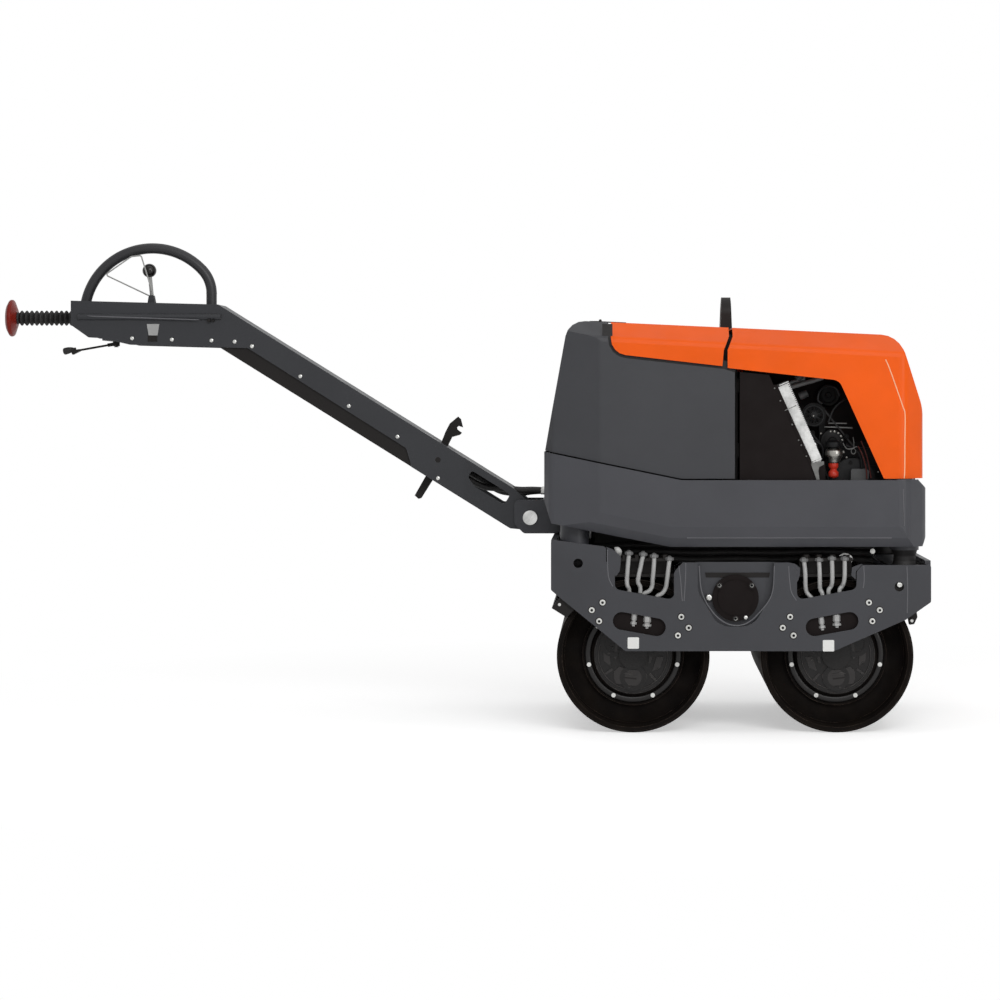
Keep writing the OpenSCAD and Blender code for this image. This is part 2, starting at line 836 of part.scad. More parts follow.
// Where the covers part, seen from the side
split_x = -2;
lid_front = -32;
lid_back = -341;
lid_low_front = 1006;
lid_low_back = 1041;
lid_round = 45;
jog = 15;
jog_low = 1050;
jog_high = 1088;
hood_low_rear = 1001;
window_front = 284;
window_top = 967;
window_foot = 406;
window_round = 28;
hood_rear = lid_front + cover_gap * 1.3;
hood_floor = bed_top + half_gap;

module rear_cover() {
  g = cover_gap / 2;
  reach = body_rear + skirt;
  color(dark) placed()
    cover([
      [-reach, bed_line(-reach) + g], [climb_x, bed_top + g], [split_x, bed_top + g],
      [split_x, hood_low_rear - cover_gap - g], [lid_front, lid_low_front - cover_gap],
      [lid_back - cover_gap, lid_low_back - cover_gap], [lid_back - cover_gap, sky],
      [-reach, sky],
    ], [0, 0, 0, 0, 0, lid_round + cover_gap, 0, 0]);
}

module rear_lid() {
  color(orange) placed()
    difference() {
      cover([
        [lid_back, lid_low_back], [lid_front - half_gap, lid_low_front], [lid_front, jog_low],
        [lid_front + jog, jog_high], [lid_front + jog, sky], [lid_back, sky],
      ], [lid_round, 0, 0, 0, 0, 0]);
      eye_way();
    }
}

// The front hood keeps a window on each side, open down to the bed, and louvres in its nose
louvres = 7;
louvre_h = 10;
louvre_pitch = 24;
louvre_w = 0.525 * body_w;
module front_hood() {
  color(orange) placed()
    difference() {
      cover([
        [hood_rear, hood_low_rear], [window_front, window_top], [window_foot, hood_floor],
        [body_front + skirt, hood_floor], [body_front + skirt, sky],
        [hood_rear + jog, sky], [hood_rear + jog, jog_high], [hood_rear, jog_low],
      ], [0, window_round, 0, 0, 0, 0, 0, 0]);
      eye_way();
      for (i = [0:louvres - 1])
        box(body_front - cover_wall * 2, body_front + over, -louvre_w / 2, louvre_w / 2,
          hood_floor + skirt + i * louvre_pitch,
          hood_floor + skirt + i * louvre_pitch + louvre_h);
      // The nose is notched where it swings past the fixed hinge brackets
      both_sides()
        box(body_front - cover_wall * 2, body_front + over, -hinge_y - clear,
          -hinge_y + knuckle_l + clear, hood_floor - over, hood_axis[1] - leaf_t);
    }
}

// Engine bed: an open tray with two bevels along its foot
bed_reach = body_rear;
bed_nose = 526;
bed_chamfer = 23;
bed_rear_low = 575;
bed_rear_tuck = 20;
bed_break = -179;
bed_half_w = half_w + 8;
bevel_low = 25;
bevel_high = 55;
bevel_in = 16;
bevel_small = 6;

module bed_side(d, lift) {
  rear_top = bed_line(-bed_reach);
  pts = [
    [-bed_reach + bed_rear_tuck, bed_rear_low], [bed_break, bed_bottom],
    [bed_nose - bed_rear_tuck / 2, bed_bottom], [bed_nose, bed_bottom + bevel_low],
    [bed_nose, bed_top - bed_chamfer + lift], [bed_nose - bed_chamfer, bed_top + lift],
    [climb_x, bed_top + lift], [-bed_reach, rear_top + lift],
    [-bed_reach, bed_rear_low + skirt],
  ];
  polygon(inset_points(pts, d));
}

module bed_plan(d) {
  grow = bed_half_w - half_w;
  pts = inset_points(plan_outline, d - grow);
  polygon(rounded(pts, less(plan_rounds, d - grow)));
}

// A cross-section with bevelled feet, run along the bed's underside from point `from`
module bevelled_run(from, fall, d) {
  w = bed_half_w;
  pts = [
    [-w + bevel_in + bevel_small, 0], [w - bevel_in - bevel_small, 0],
    [w - bevel_small, bevel_low], [w, bevel_high], [w, roof_rear], [-w, roof_rear],
    [-w, bevel_high], [-w + bevel_small, bevel_low],
  ];
  translate([from[0], 0, from[1]])
    rotate([0, fall, 0])
      translate([-body_w * 2, 0, 0])
        rotate([90, 0, 90])
          linear_extrude(body_w * 4) polygon(inset_points(pts, d));
}

module bed_form(d, lift) {
  rise = atan(bed_slope);
  intersection() {
    across(-body_w, body_w) bed_side(d, lift);
    linear_extrude(roof_rear) bed_plan(d);
    bevelled_run([bed_break, bed_bottom], 0, d);
    bevelled_run([bed_break, bed_bottom], rise, d);
  }
}

bed_slope = (bed_rear_low - bed_bottom) / (bed_reach - bed_rear_tuck + bed_break);
function foot_top(x) =
  bed_bottom + bed_wall / 2 + max(0, bed_break - x + isolator_r * 1.1) * bed_slope;
module engine_bed() {
  color(dark) placed() {
    difference() {
      bed_form(0, 0);
      bed_form(bed_wall, skirt);
    }
    both_sides()
      for (x = isolator_x)
        translate([x, -isolator_y, isolator_top])
          cylinder(h = foot_top(x) - isolator_top, r = isolator_r * 1.1);
    box(saddle_x - skirt / 2, saddle_x + skirt / 2, -store_y, store_y,
      bed_bottom + bed_wall / 2, rear_floor - seat);
  }
}

// Lifting frame: a portal over the engine bay with a forged eye above the roof
portal_x = -12;
portal_w = 40;
portal_y = 0.845 * half_w;
portal_top = 1094;
eye_t_top = 26;
eye_t_low = 35;
eye_wide = 0.12 * body_w;
strap_z = [bed_top + skirt, bed_top + skirt * 4];
floor_z = bed_bottom + bed_wall;
module lifting_frame() {
  eye_r = eye_wide / 2;
  eye_z = lift_top - eye_r;
  color(black) placed() {
    both_sides()
      box(portal_x - portal_w / 2, portal_x + portal_w / 2, -portal_y, -portal_y + portal_w,
        floor_z, portal_top);
    box(portal_x - portal_w / 2, portal_x + portal_w / 2, -portal_y, portal_y,
      portal_top - portal_w, portal_top);
    // Straps that hold the rear cover and the bay panel
    both_sides() {
      for (z = strap_z) {
        box(portal_x - portal_w / 2, split_x - over, -half_w + cover_wall + seat,
          -portal_y + over, z, z + portal_w);
        box(portal_x, panel_x - seat, -portal_y, -portal_y + portal_w, z, z + portal_w);
      }
    }
    difference() {
      intersection() {
        translate([portal_x - portal_w, 0, 0])
          rotate([90, 0, 90])
            linear_extrude(portal_w * 2) union() {
              translate([0, eye_z]) circle(r = eye_r);
              translate([-eye_r, portal_top - over]) square([eye_wide, eye_z - portal_top + over]);
            }
        across(-eye_wide, eye_wide)
          polygon([
            [portal_x - eye_t_low / 2, portal_top - over], [portal_x + eye_t_low / 2, portal_top - over],
            [portal_x + eye_t_top / 2, lift_top], [portal_x - eye_t_top / 2, lift_top],
          ]);
      }
      translate([portal_x - portal_w, 0, eye_z])
        rotate([0, 90, 0]) cylinder(h = portal_w * 2, r = lift_hole_r);
    }
  }
}

// The black panel behind the hood's windows: two cheeks joined by a bulkhead
panel_x = 12;
panel_foot = 218;
panel_head = 92;
panel_t = 4;
panel_gap = 4;
panel_top = 990;
module bay_panel() {
  y = half_w - cover_wall - panel_gap;
  low = bed_top + half_gap;
  color(black) placed() {
    both_sides()
      across(-y, -y + panel_t)
        polygon([[panel_x, low - skirt], [panel_foot, low - skirt], [panel_foot, low],
          [panel_head, panel_top - panel_t * 2], [panel_x, panel_top]]);
    box(panel_x, panel_x + panel_t, -y, y, low - skirt, panel_top);
  }
}

// Hinges of the hood, at the foot of its nose, and of the lid, on the roof
pin_r = 4;
knuckle_r = 7;
knuckle_l = 24;
hood_axis = [body_front - knuckle_l / 2, bed_top + knuckle_l];
hinge_y = 0.625 * half_w;
leaf_t = 3;
leaf_w = 60;
function roof_at(x) = roof_rear - (x + body_rear - rear_set_back) * (roof_rear - roof_front) /
  (body_front + body_rear - front_set_back - rear_set_back);
lid_axis = [lid_back - leaf_w / 2, roof_at(lid_back - leaf_w) + leaf_t + seat];
module hinge_brackets() {
  color(steel) placed()
    both_sides() {
      // Fixed knuckles and their pins
      rod(hood_axis, -hinge_y, -hinge_y + knuckle_l, knuckle_r);
      rod(hood_axis, -hinge_y - knuckle_l, -hinge_y, pin_r);
      box(hood_axis[0] - leaf_t, hood_axis[0], -hinge_y, -hinge_y + knuckle_l,
        bed_top - skirt, hood_axis[1]);
      box(hood_axis[0] - leaf_t, bed_nose - bed_wall, -hinge_y, -hinge_y + knuckle_l,
        bed_top - skirt, bed_top - skirt + leaf_t);
      rod(lid_axis, -hinge_y, -hinge_y + knuckle_l, knuckle_r - leaf_t);
      rod(lid_axis, -hinge_y - knuckle_l, -hinge_y, pin_r / 2);
      box(lid_axis[0] - leaf_w / 2, lid_axis[0], -hinge_y, -hinge_y + knuckle_l,
        lid_axis[1] - leaf_t, lid_axis[1]);
    }
}

module hood_hinge_leaves() {
  color(steel) placed()
    both_sides()
      difference() {
        union() {
          rod(hood_axis, -hinge_y - knuckle_l, -hinge_y - seat, knuckle_r);
          box(hood_axis[0], body_front - cover_wall, -hinge_y - knuckle_l, -hinge_y - seat,
            hood_axis[1] + knuckle_r - leaf_t, hood_axis[1] + knuckle_r);
          box(body_front - cover_wall - leaf_t, body_front - cover_wall,
            -hinge_y - knuckle_l, -hinge_y - seat,
            hood_axis[1] + knuckle_r - leaf_t, hood_axis[1] + leaf_w);
        }
        rod(hood_axis, -hinge_y - knuckle_l - over, -hinge_y, pin_r + fit);
      }
}

module lid_hinge_leaves() {
  r = knuckle_r - leaf_t;
  color(black) placed()
    both_sides()
      difference() {
        union() {
          rod(lid_axis, -hinge_y - knuckle_l, -hinge_y - seat, r);
          across(-hinge_y - knuckle_l, -hinge_y - seat)
            polygon([for (e = [[0, 0], [1, 0], [1, 1], [0, 1]])
              let (x = lid_axis[0] + e[0] * leaf_w * 1.2) [x, roof_at(x) + seat + e[1] * leaf_t]]);
        }
        rod(lid_axis, -hinge_y - knuckle_l - over, -hinge_y, pin_r / 2 + fit);
      }
}

// Engine and what stands round it in the front bay, and the stores in the rear one
crank_at = [330, 690];
crank_r = 17;
pulley_y = 0.7 * half_w;
pulley_w = 22;
crank_pulley_r = 62;
fan_at = [222, 872];
fan_r = 33;
belt_t = 5;
block_front = 430;
block_rear = 240;
block_half = 0.525 * half_w;
block_top = 780;
sump_top = 600;
module engine_block() {
  color(black) placed()
    difference() {
      union() {
        box(block_rear, block_front, -block_half, block_half, sump_top, block_top);
        box(block_rear + skirt / 3, block_front - skirt / 3, -block_half * 0.8, block_half * 0.8,
          floor_z, sump_top);
        for (i = [0:6])
          box(block_rear - panel_t, block_front + panel_t, -block_half - panel_t,
            block_half + panel_t, sump_top + i * belt_t * 5, sump_top + i * belt_t * 5 + panel_t);
        rod(crank_at, -block_half - skirt / 2, -block_half, crank_pulley_r * 0.8);
        rod(fan_at, -pulley_y - pulley_w - belt_t, -block_half + skirt, crank_r / 2);
        box(fan_at[0] - crank_r * 1.2, block_rear + crank_r, -block_half - skirt / 2,
          -block_half + skirt, fan_at[1] - crank_r * 1.2, fan_at[1] + crank_r * 1.2);
        box(block_rear, block_rear + crank_r, -block_half - skirt / 2, -block_half + skirt,
          block_top - over, fan_at[1]);
      }
      rod(crank_at, -block_half - skirt, -block_half + skirt, crank_r + fit);
    }
}

head_rear_x = 286;
head_front_x = 422;
head_base_h = 78;
rocker_h = 54;
rocker_in = 16;
head_top = block_top + head_base_h + rocker_h;
module cylinder_head() {
  low = block_top + head_base_h;
  color(grey) placed() {
    box(head_rear_x, head_front_x, -block_half * 0.86, block_half * 0.86, block_top, low);
    across(-block_half * 0.8, block_half * 0.8)
      polygon(rounded([
        [head_rear_x + rocker_in, low - over], [head_front_x - rocker_in, low - over],
        [head_front_x - rocker_in, low + rocker_h], [head_rear_x + rocker_in, low + rocker_h],
      ], [0, 0, rocker_in, rocker_in]));
  }
}

module alternator() {
  r = fan_r * 0.8;
  at = [block_front + panel_t + r * 1.04 + seat, block_top - crank_pulley_r];
  low = -block_half + skirt;
  color(grey) placed() {
    rod(at, low, -block_half * 0.3, r);
    rod(at, low - skirt / 5, low + over, r * 0.8);
    for (i = [0:4])
      rod(at, low + skirt / 5 + i * belt_t * 3, low + skirt / 5 + i * belt_t * 3 + belt_t, r * 1.06);
  }
}

canister_r = 48;
module air_filter() {
  at = [head_front_x - rocker_in, head_top + canister_r + rocker_in];
  color(black) placed() {
    rod(at, -block_half * 0.3, block_half * 0.9, canister_r);
    rod(at, -block_half * 0.4, -block_half * 0.3 + over, canister_r * 1.08);
    bar([at[0], block_half * 0.6, head_top + seat], [at[0], block_half * 0.6, at[1]], canister_r / 2);
  }
}

exhaust_r = 18;
module muffler() {
  at = [head_rear_x - exhaust_r - seat, head_top + canister_r + rocker_in];
  color(steel) placed() {
    rod(at, -block_half * 0.55, block_half * 0.8, canister_r);
    bar([at[0], 0, block_top + head_base_h / 2], [at[0], 0, at[1]], exhaust_r);
  }
}

// A fuel filter with a red bowl hangs in the window, with a cap beside it
filter_x = 276;
filter_y = 0.83 * half_w;
filter_bowl_r = 12.5;
filter_low = 698;
module fuel_filter() {
  color(red) placed() {
    translate([filter_x, -filter_y, filter_low]) {
      cylinder(h = filter_bowl_r * 2.6, r = filter_bowl_r);
      translate([0, 0, filter_bowl_r * 2.6])
        cylinder(h = filter_bowl_r, r = filter_bowl_r * 1.2);
      translate([0, 0, filter_bowl_r * 3.6])
        cylinder(h = filter_bowl_r * 2.8, r = filter_bowl_r * 1.44);
      translate([0, 0, filter_bowl_r * 6.4])
        cylinder(h = filter_bowl_r * 2, r = filter_bowl_r * 2.6);
    }
    box(filter_x - filter_bowl_r, filter_x + filter_bowl_r, -filter_y, -block_half - panel_t,
      filter_low + filter_bowl_r * 4, filter_low + filter_bowl_r * 5);
  }
}

// The radiator leans back beside the panel, with a pale tank at each end
radiator_foot = [223, 749];
radiator_head = [130, 953];
radiator_t = 30;
radiator_y = 0.93 * half_w;
tank_w = 40;
module radiator() {
  along = unit(radiator_head - radiator_foot);
  across_it = [along[1], -along[0]];
  half = across_it * radiator_t / 2;
  core = half * 0.7;
  color(light) placed() {
    both_sides()
      across(-radiator_y, -radiator_y + tank_w)
        polygon(rounded([radiator_foot - half, radiator_foot + half, radiator_head + half,
          radiator_head - half], radiator_t / 6));
    across(-radiator_y + tank_w, radiator_y - tank_w)
      polygon([radiator_foot - core, radiator_foot + core, radiator_head + core,
        radiator_head - core]);
    both_sides()
      across(-radiator_y + tank_w / 3, -radiator_y + tank_w * 2 / 3)
        polygon([radiator_foot - half, radiator_foot + half,
          [radiator_foot[0] + radiator_t / 2, floor_z], [radiator_foot[0] - radiator_t / 2, floor_z]]);
  }
}

// Stores in the rear bay, which stand on the rear feet's bosses and on a saddle across the bed
store_y = 0.825 * half_w;
store_round = 24;
store_rear = -440;
store_split = -240;
store_front = -70;
saddle_x = -140;
rear_floor = foot_top(isolator_x[0]) + seat;
tank_top = bed_top + skirt * 4;
module store(x0, x1, y0, y1, high) {
  translate([0, 0, rear_floor])
    linear_extrude(high - rear_floor)
      polygon(rounded([[x0, y0], [x1, y0], [x1, y1], [x0, y1]], store_round));
}

module filler(x, y, r) {
  translate([x, y, tank_top - over]) cylinder(h = skirt / 2 + over, r = r);
}

module fuel_tank() {
  color(black) placed() {
    store(store_rear, store_front, -store_y, -store_y * 0.1, tank_top);
    filler(store_split + skirt, -store_y * 0.6, skirt * 0.6);
  }
}

module hydraulic_tank() {
  color(dark) placed() {
    store(store_rear, store_split, store_y * 0.1, store_y, tank_top);
    filler((store_rear + store_split) / 2, store_y * 0.6, skirt * 0.5);
  }
}

module battery() {
  top = rear_floor + skirt * 3;
  color(black) placed() {
    store(store_split + store_round / 2, store_front, store_y * 0.2, store_y * 0.85, top);
    for (x = [store_split + skirt, store_front - skirt])
      translate([x, store_y * 0.3, top - over]) cylinder(h = pipe_bend, r = pipe_bend / 2);
  }
}

module hydraulic_pump() {
  color(grey) placed() {
    rod(crank_at, block_half + panel_t, block_half + skirt, crank_pulley_r * 0.8);
    rod(crank_at, block_half + skirt, block_half + skirt * 2.4, crank_pulley_r * 0.6);
    box(crank_at[0] - crank_pulley_r * 0.5, crank_at[0] + crank_pulley_r * 0.5,
      block_half + skirt * 1.3, block_half + skirt * 2.1, crank_at[1], crank_at[1] + crank_pulley_r);
  }
}

// The belt runs round both pulleys with a working clearance
function tangent_angle() = asin((crank_pulley_r - fan_r) / norm(fan_at - crank_at));
module belt_loop(grow) {
  d = fan_at - crank_at;
  dir = atan2(d[1], d[0]);
  lead = tangent_angle();
  r0 = crank_pulley_r - belt_t + grow;
  r1 = fan_r - belt_t + grow;
  steps = 16;
  polygon(concat(
    [for (i = [0:steps]) let (a = dir + 90 - lead + i / steps * (180 + 2 * lead))
      crank_at + r0 * [cos(a), sin(a)]],
    [for (i = [0:steps]) let (a = dir - 90 + lead + i / steps * (180 - 2 * lead))
      fan_at + r1 * [cos(a), sin(a)]]
  ));
}

module drive_belt() {
  color(rubber) placed()
    difference() {
      across(-pulley_y - pulley_w / 2 - belt_t, -pulley_y - pulley_w / 2 + belt_t) belt_loop(belt_t);
      across(-pulley_y - pulley_w, -pulley_y) belt_loop(clear);
    }
}

module pulley_wheel(at, r, bore) {
  y = -pulley_y - pulley_w / 2;
  difference() {
    rod(at, -pulley_y - pulley_w, -pulley_y, r);
    difference() {
      rod(at, y - belt_t * 1.2, y + belt_t * 1.2, r + over);
      rod(at, y - belt_t * 2, y + belt_t * 2, r - belt_t);
    }
    if (bore > 0) rod(at, -pulley_y - pulley_w - over, -pulley_y + over, bore);
  }
}

module crank_pulley() {
  color(grey) placed() {
    pulley_wheel(crank_at, crank_pulley_r, 0);
    rod(crank_at, -pulley_y, -block_half, crank_r);
  }
}

spokes = 8;
module fan_pulley() {
  y0 = -pulley_y - pulley_w;
  color(grey) placed()
    difference() {
      pulley_wheel(fan_at, fan_r, crank_r / 2 + fit);
      difference() {
        rod(fan_at, y0 - over, -pulley_y + over, fan_r - belt_t * 2);
        rod(fan_at, y0 - over * 2, -pulley_y + over * 2, crank_r * 0.75);
        for (i = [0:spokes - 1])
          translate([fan_at[0], 0, fan_at[1]])
            rotate([0, i * 360 / spokes, 0])
              box(0, fan_r, y0 - over * 2, -pulley_y + over * 2, -belt_t / 3, belt_t / 3);
      }
    }
}

// Drawbar: two ears on the bed's rear wall, the pin, and a folded arm that ends in the head
ear_t = 14;
ear_gap = 2;
pin_head_r = 20.5;
ear_in = arm_w / 2 + ear_gap;
ear_out = ear_in + ear_t;
ear_r = 45;
bracket_foot = 66;
function bed_back(z) = -bed_reach + bed_rear_tuck * max(0, bed_rear_low + skirt - z) / skirt - seat;
function bed_under(x) =
  bed_bottom + (bed_break - x) * bed_slope - seat;
module drawbar_bracket() {
  top = pivot_h + ear_r * 1.12;
  low_x = -bed_reach + bed_rear_tuck;
  toe = low_x + bracket_foot;
  base = [
    [bed_back(bed_rear_low), bed_rear_low - seat], [bed_back(top), top],
    [bed_back(top) - ear_t, top], [bed_back(top) - ear_t, pivot_h - ear_r],
    [low_x, pivot_h - ear_r], [toe, bed_under(toe) - ear_t], [toe, bed_under(toe)],
  ];
  ear = [
    [bed_back(bed_rear_low), pivot_h - ear_r], [bed_back(bed_rear_low), bed_rear_low - seat],
    [bed_back(top), top], [pivot[0] - ear_r, top], [pivot[0] - ear_r, pivot_h - ear_r * 0.4],
    [pivot[0] - ear_r * 0.4, pivot_h - ear_r],
  ];
  color(dark) placed() {
    difference() {
      both_sides()
        across(-ear_out, -ear_in) polygon(rounded(ear, [0, 0, 0, ear_t, ear_t, ear_t]));
      rod(pivot, -ear_out - over, ear_out + over, pivot_r + fit);
    }
    across(-ear_out, ear_out) polygon(base);
  }
}

module drawbar_pin() {
  color(steel) placed() {
    rod(pivot, -ear_out, ear_out, pivot_r);
    both_sides() rod(pivot, -ear_out - ear_t / 2, -ear_out, pin_head_r);
  }
}

cheek_shares = [[0.875, 0.405], [0.376, 0.37], [0.347, 0.1], [0.34, 0]];
head_shares = [
  [1, 0.089], [1, -0.472], [0.879, -0.765], [0.789, -0.781], [0.598, -0.934],
];
head_points = placed_points([for (s = head_shares) [-s[0], s[1]]], bend, [head_l, head_d]);
head_low_share = 1.011;
head_low = bend[1] - head_low_share * head_d;
function belly(s) = on_arm(s[0] * arm_l, arm_low_t + s[1] * arm_d);
nose_shares = [[0.03, 0], [-0.037, 0.36], [-0.02, 0.82], [0.077, 1]];
arm_nose = [for (s = nose_shares) on_arm(s[0] * arm_l, arm_low_t + s[1] * arm_d)];
cheek_points = concat(arm_nose, [bend], head_points,
  [[belly(cheek_shares[0])[0] - arm_t, head_low]], [for (s = cheek_shares) belly(s)]);
slot_shares = [[0.077, 0.47], [0.168, 0.47], [0.197, 0.6], [0.197, 0.81], [0.077, 0.81]];

module arm_outline() {
  polygon(rounded(cheek_points, concat([12, 24, 24, 8], [30], [4, 6, 12, 12, 20, 30],
    [20, 12, 12, 4]), 4));
}

module drawbar_arm() {
  half = arm_w / 2;
  top = [arm_nose[3], bend, head_points[0]];
  sunk = [for (p = [arm_nose[3] - arm_t * arm_up, bend - arm_t * unit(arm_up + [0, 1]),
    head_points[0] - [0, arm_t]]) p];
  color(dark) placed()
    difference() {
      union() {
        both_sides() across(-half, -half + arm_t) arm_outline();
        across(-half, half) polygon([top[0], top[1], top[2], sunk[2], sunk[1], sunk[0]]);
        across(-half, half)
          polygon([head_points[0], head_points[1], head_points[1] + [arm_t, 0],
            head_points[0] + [arm_t, 0]]);
        rod(pivot, -half, half, pivot_r + arm_t * 2);
        // A raised bead along each cheek of the head
        both_sides()
          bar([head_rear + head_l * 0.05, -half, bead_z], [bend[0] + head_l * 0.02, -half, bead_z],
            bead_r);
      }
      rod(pivot, -half - over, half + over, pivot_r + fit);
      across(-half - bead_r * 2, half + bead_r * 2)
        polygon(rounded([for (s = slot_shares) belly(s)], [10, 10, 10, 8, 10]));
      rod(lever_pivot, -half - over, half + over, lever_shaft_r + fit);
      translate([travel_x, 0, bend[1]])
        box(-travel_slot_l / 2, travel_slot_l / 2, -travel_slot_w / 2, travel_slot_w / 2,
          -head_d / 8, head_d / 2);
      translate([head_rear - over, 0, pad_z])
        rotate([0, 90, 0]) cylinder(h = arm_t * 2, r = stop_rod_r + fit);
      hook_at = on_arm(hook_s * arm_l, arm_top_t);
      translate([hook_at[0], 0, hook_at[1]])
        rotate([0, arm_angle, 0])
          box(-hook_slot_l / 2, hook_slot_l / 2, -hook_t, hook_t, -arm_t * 2, arm_t * 2);
    }
  // Lugs for the bail, and the plate under the head with the throttle lever's pin
  color(dark) placed() {
    bail_lugs();
    rod(travel_base, -half + arm_t / 2, half - arm_t / 2, travel_pin_r);
    box(throttle_x - throttle_plate, throttle_x + throttle_plate, -half, half,
      throttle_z, throttle_z + arm_t);
    translate([throttle_x, throttle_y, throttle_z - throttle_boss_h - clear * 2])
      cylinder(h = throttle_boss_h + clear * 2, r = throttle_pin_r);
    translate([throttle_x, throttle_y, throttle_z - throttle_boss_h - clear * 4])
      cylinder(h = clear * 2, r = throttle_pin_r * 1.6);
  }
}
bead_r = 9;
bead_z = bend[1] - head_d * 0.29;

module arm_belly_cover() {
  half = arm_w / 2 - arm_t - seat;
  s0 = 0.335;
  s1 = 0.945;
  color(black) placed()
    difference() {
      across(-half, half) polygon([belly([s0, 0]), belly([s0, 0.55]), belly([s1, 0.55]), belly([s1, 0])]);
      across(-half + arm_t / 2, half - arm_t / 2)
        polygon([belly([s0 + 0.005, 0.04]), belly([s0 + 0.005, 0.6]), belly([s1 - 0.005, 0.6]),
          belly([s1 - 0.005, 0.04])]);
    }
}

// Loop handle: one tube, rising on a wide bend and coming down straight
loop_main_r = 196;
loop_corner_r = 98;
loop_reach = 170;
loop_back = 200;
loop_centre = [bend[0] - loop_back, bend[1] + loop_h - loop_main_r];
loop_r = loop_d / 2;
loop_foot = 168;
loop_collar = 2;
head_points_slope = head_shares[0][1] * head_d / head_l;
module arc_tube(centre, r, from, to) {
  translate([centre[0], 0, centre[1]])
    rotate([90, 0, 0])
      rotate([0, 0, from])
        rotate_extrude(angle = to - from, $fn = 96)
          translate([r, 0]) circle(r = loop_r, $fn = 32);
}

module loop_handle() {
  c = loop_centre + [loop_reach - loop_corner_r,
    sqrt(pow(loop_main_r - loop_corner_r, 2) - pow(loop_reach - loop_corner_r, 2))];
  join = atan2(c[1] - loop_centre[1], c[0] - loop_centre[0]);
  color(dark) placed() difference() { union() {
    arc_tube(loop_centre, loop_main_r, join, loop_foot);
    arc_tube(c, loop_corner_r, 0, join);
    translate([c[0] + loop_corner_r, 0, bend[1]])
      cylinder(h = c[1] - bend[1], r = loop_r);
    translate([c[0] + loop_corner_r, 0, c[1] - loop_collar])
      cylinder(h = loop_collar * 2, r = loop_r + loop_collar / 8);
    translate([c[0], 0, c[1]])
      rotate([0, -join, 0])
        translate([loop_corner_r, 0, -loop_collar])
          cylinder(h = loop_collar * 2, r = loop_r + loop_collar / 8);
    }
    across(-arm_w, arm_w)
      polygon([bend + [head_l, -head_points_slope * head_l],
        bend - [head_l, -head_points_slope * head_l] * 1.2,
        bend - [head_l * 1.2, head_d], bend + [head_l, -head_d]]);
  }
}

// Travel lever, its knob and the sprung wire bail
travel_back = 197;
travel_x = bend[0] - travel_back;
travel_sink = 24;
travel_lean = 12;
travel_reach = 100;
travel_slot_l = 90;
travel_slot_w = 30;
travel_base = [travel_x, bend[1] - travel_sink];
travel_tip = [travel_x - travel_lean, bend[1] + travel_reach];
lever_r = 5.5;
knob_r = 20;
travel_pin_r = 5;
module travel_lever() {
  half = travel_slot_w / 2;
  color(steel) placed()
    difference() {
      union() {
        rod(travel_base, -half, half, lever_r * 2);
        bar([travel_base[0], 0, travel_base[1]], [travel_tip[0], 0, travel_tip[1]], lever_r);
      }
      rod(travel_base, -half - over, half + over, travel_pin_r + fit);
    }
}

module travel_knob() {
  color(black) placed()
    translate([travel_tip[0], 0, travel_tip[1]]) {
      difference() {
        sphere(r = knob_r);
        translate([0, 0, -knob_r * 2]) cylinder(h = knob_r * 1.1, r = knob_r * 2);
        rotate([0, atan2(travel_tip[0] - travel_base[0], travel_tip[1] - travel_base[1]), 0])
          translate([0, 0, -knob_r * 2]) cylinder(h = knob_r * 2, r = lever_r + fit);
      }
    }
}

bail_y = -30;
bail_r = 2;
bail_boss_r = 7;
bail_pin_r = 3;
bail_half = 6;
lug_t = 4;
bail_rise = 21;
bail_pivot = [travel_x, bend[1] + bail_rise];
bail_reach = 134;
bail_shares = [[-0.03, 0.03], [-1, 0.49], [-0.44, 0.88], [-0.23, 0.903], [0.037, 0.03]];
module bail() {
  color(steel) placed()
    difference() {
      union() {
        bent([for (p = bail_shares * bail_reach)
          [bail_pivot[0] + p[0], bail_y, bail_pivot[1] + p[1]]],
          bail_r, lever_r);
        rod(bail_pivot, bail_y - bail_half, bail_y + bail_half, bail_boss_r);
      }
      rod(bail_pivot, bail_y - bail_half - over, bail_y + bail_half + over, bail_pin_r + fit);
    }
}

module bail_lugs() {
  for (e = [-1, 1]) {
    y = bail_y + e * (bail_half + clear + lug_t / 2);
    across(y - lug_t / 2, y + lug_t / 2)
      polygon(rounded([bail_pivot + [-bail_boss_r * 1.6, -lug_rise],
        bail_pivot + [bail_boss_r * 1.6, -lug_rise], bail_pivot + [bail_boss_r, bail_boss_r],
        bail_pivot + [-bail_boss_r, bail_boss_r]],
        [0, 0, lug_t, lug_t]));
  }
  rod(bail_pivot, bail_y - bail_half - clear - over, bail_y + bail_half + clear + over, bail_pin_r);
}
lug_rise = 18;

// Stop pad: a red button on a rod that slides in the head's end, with a ribbed boot round it
pad_r = 53;
pad_round = 8;
stop_rod_r = 8;
stop_travel = 30;
module stop_pad() {
  x0 = pad_end;
  color(red) placed()
    translate([x0, 0, pad_z])
      rotate([0, 90, 0]) {
        rotate_extrude($fn = 64)
          polygon(rounded([[0, 0], [pad_r * 0.72, 0], [pad_r, pad_t * 0.3], [pad_r, pad_t * 0.62],
            [pad_r * 0.5, pad_t], [0, pad_t]], pad_round * [0, 1, 0.75, 0.75, 0.5, 0]));
        cylinder(h = pad_t + bellows_l + stop_travel, r = stop_rod_r);
      }
}

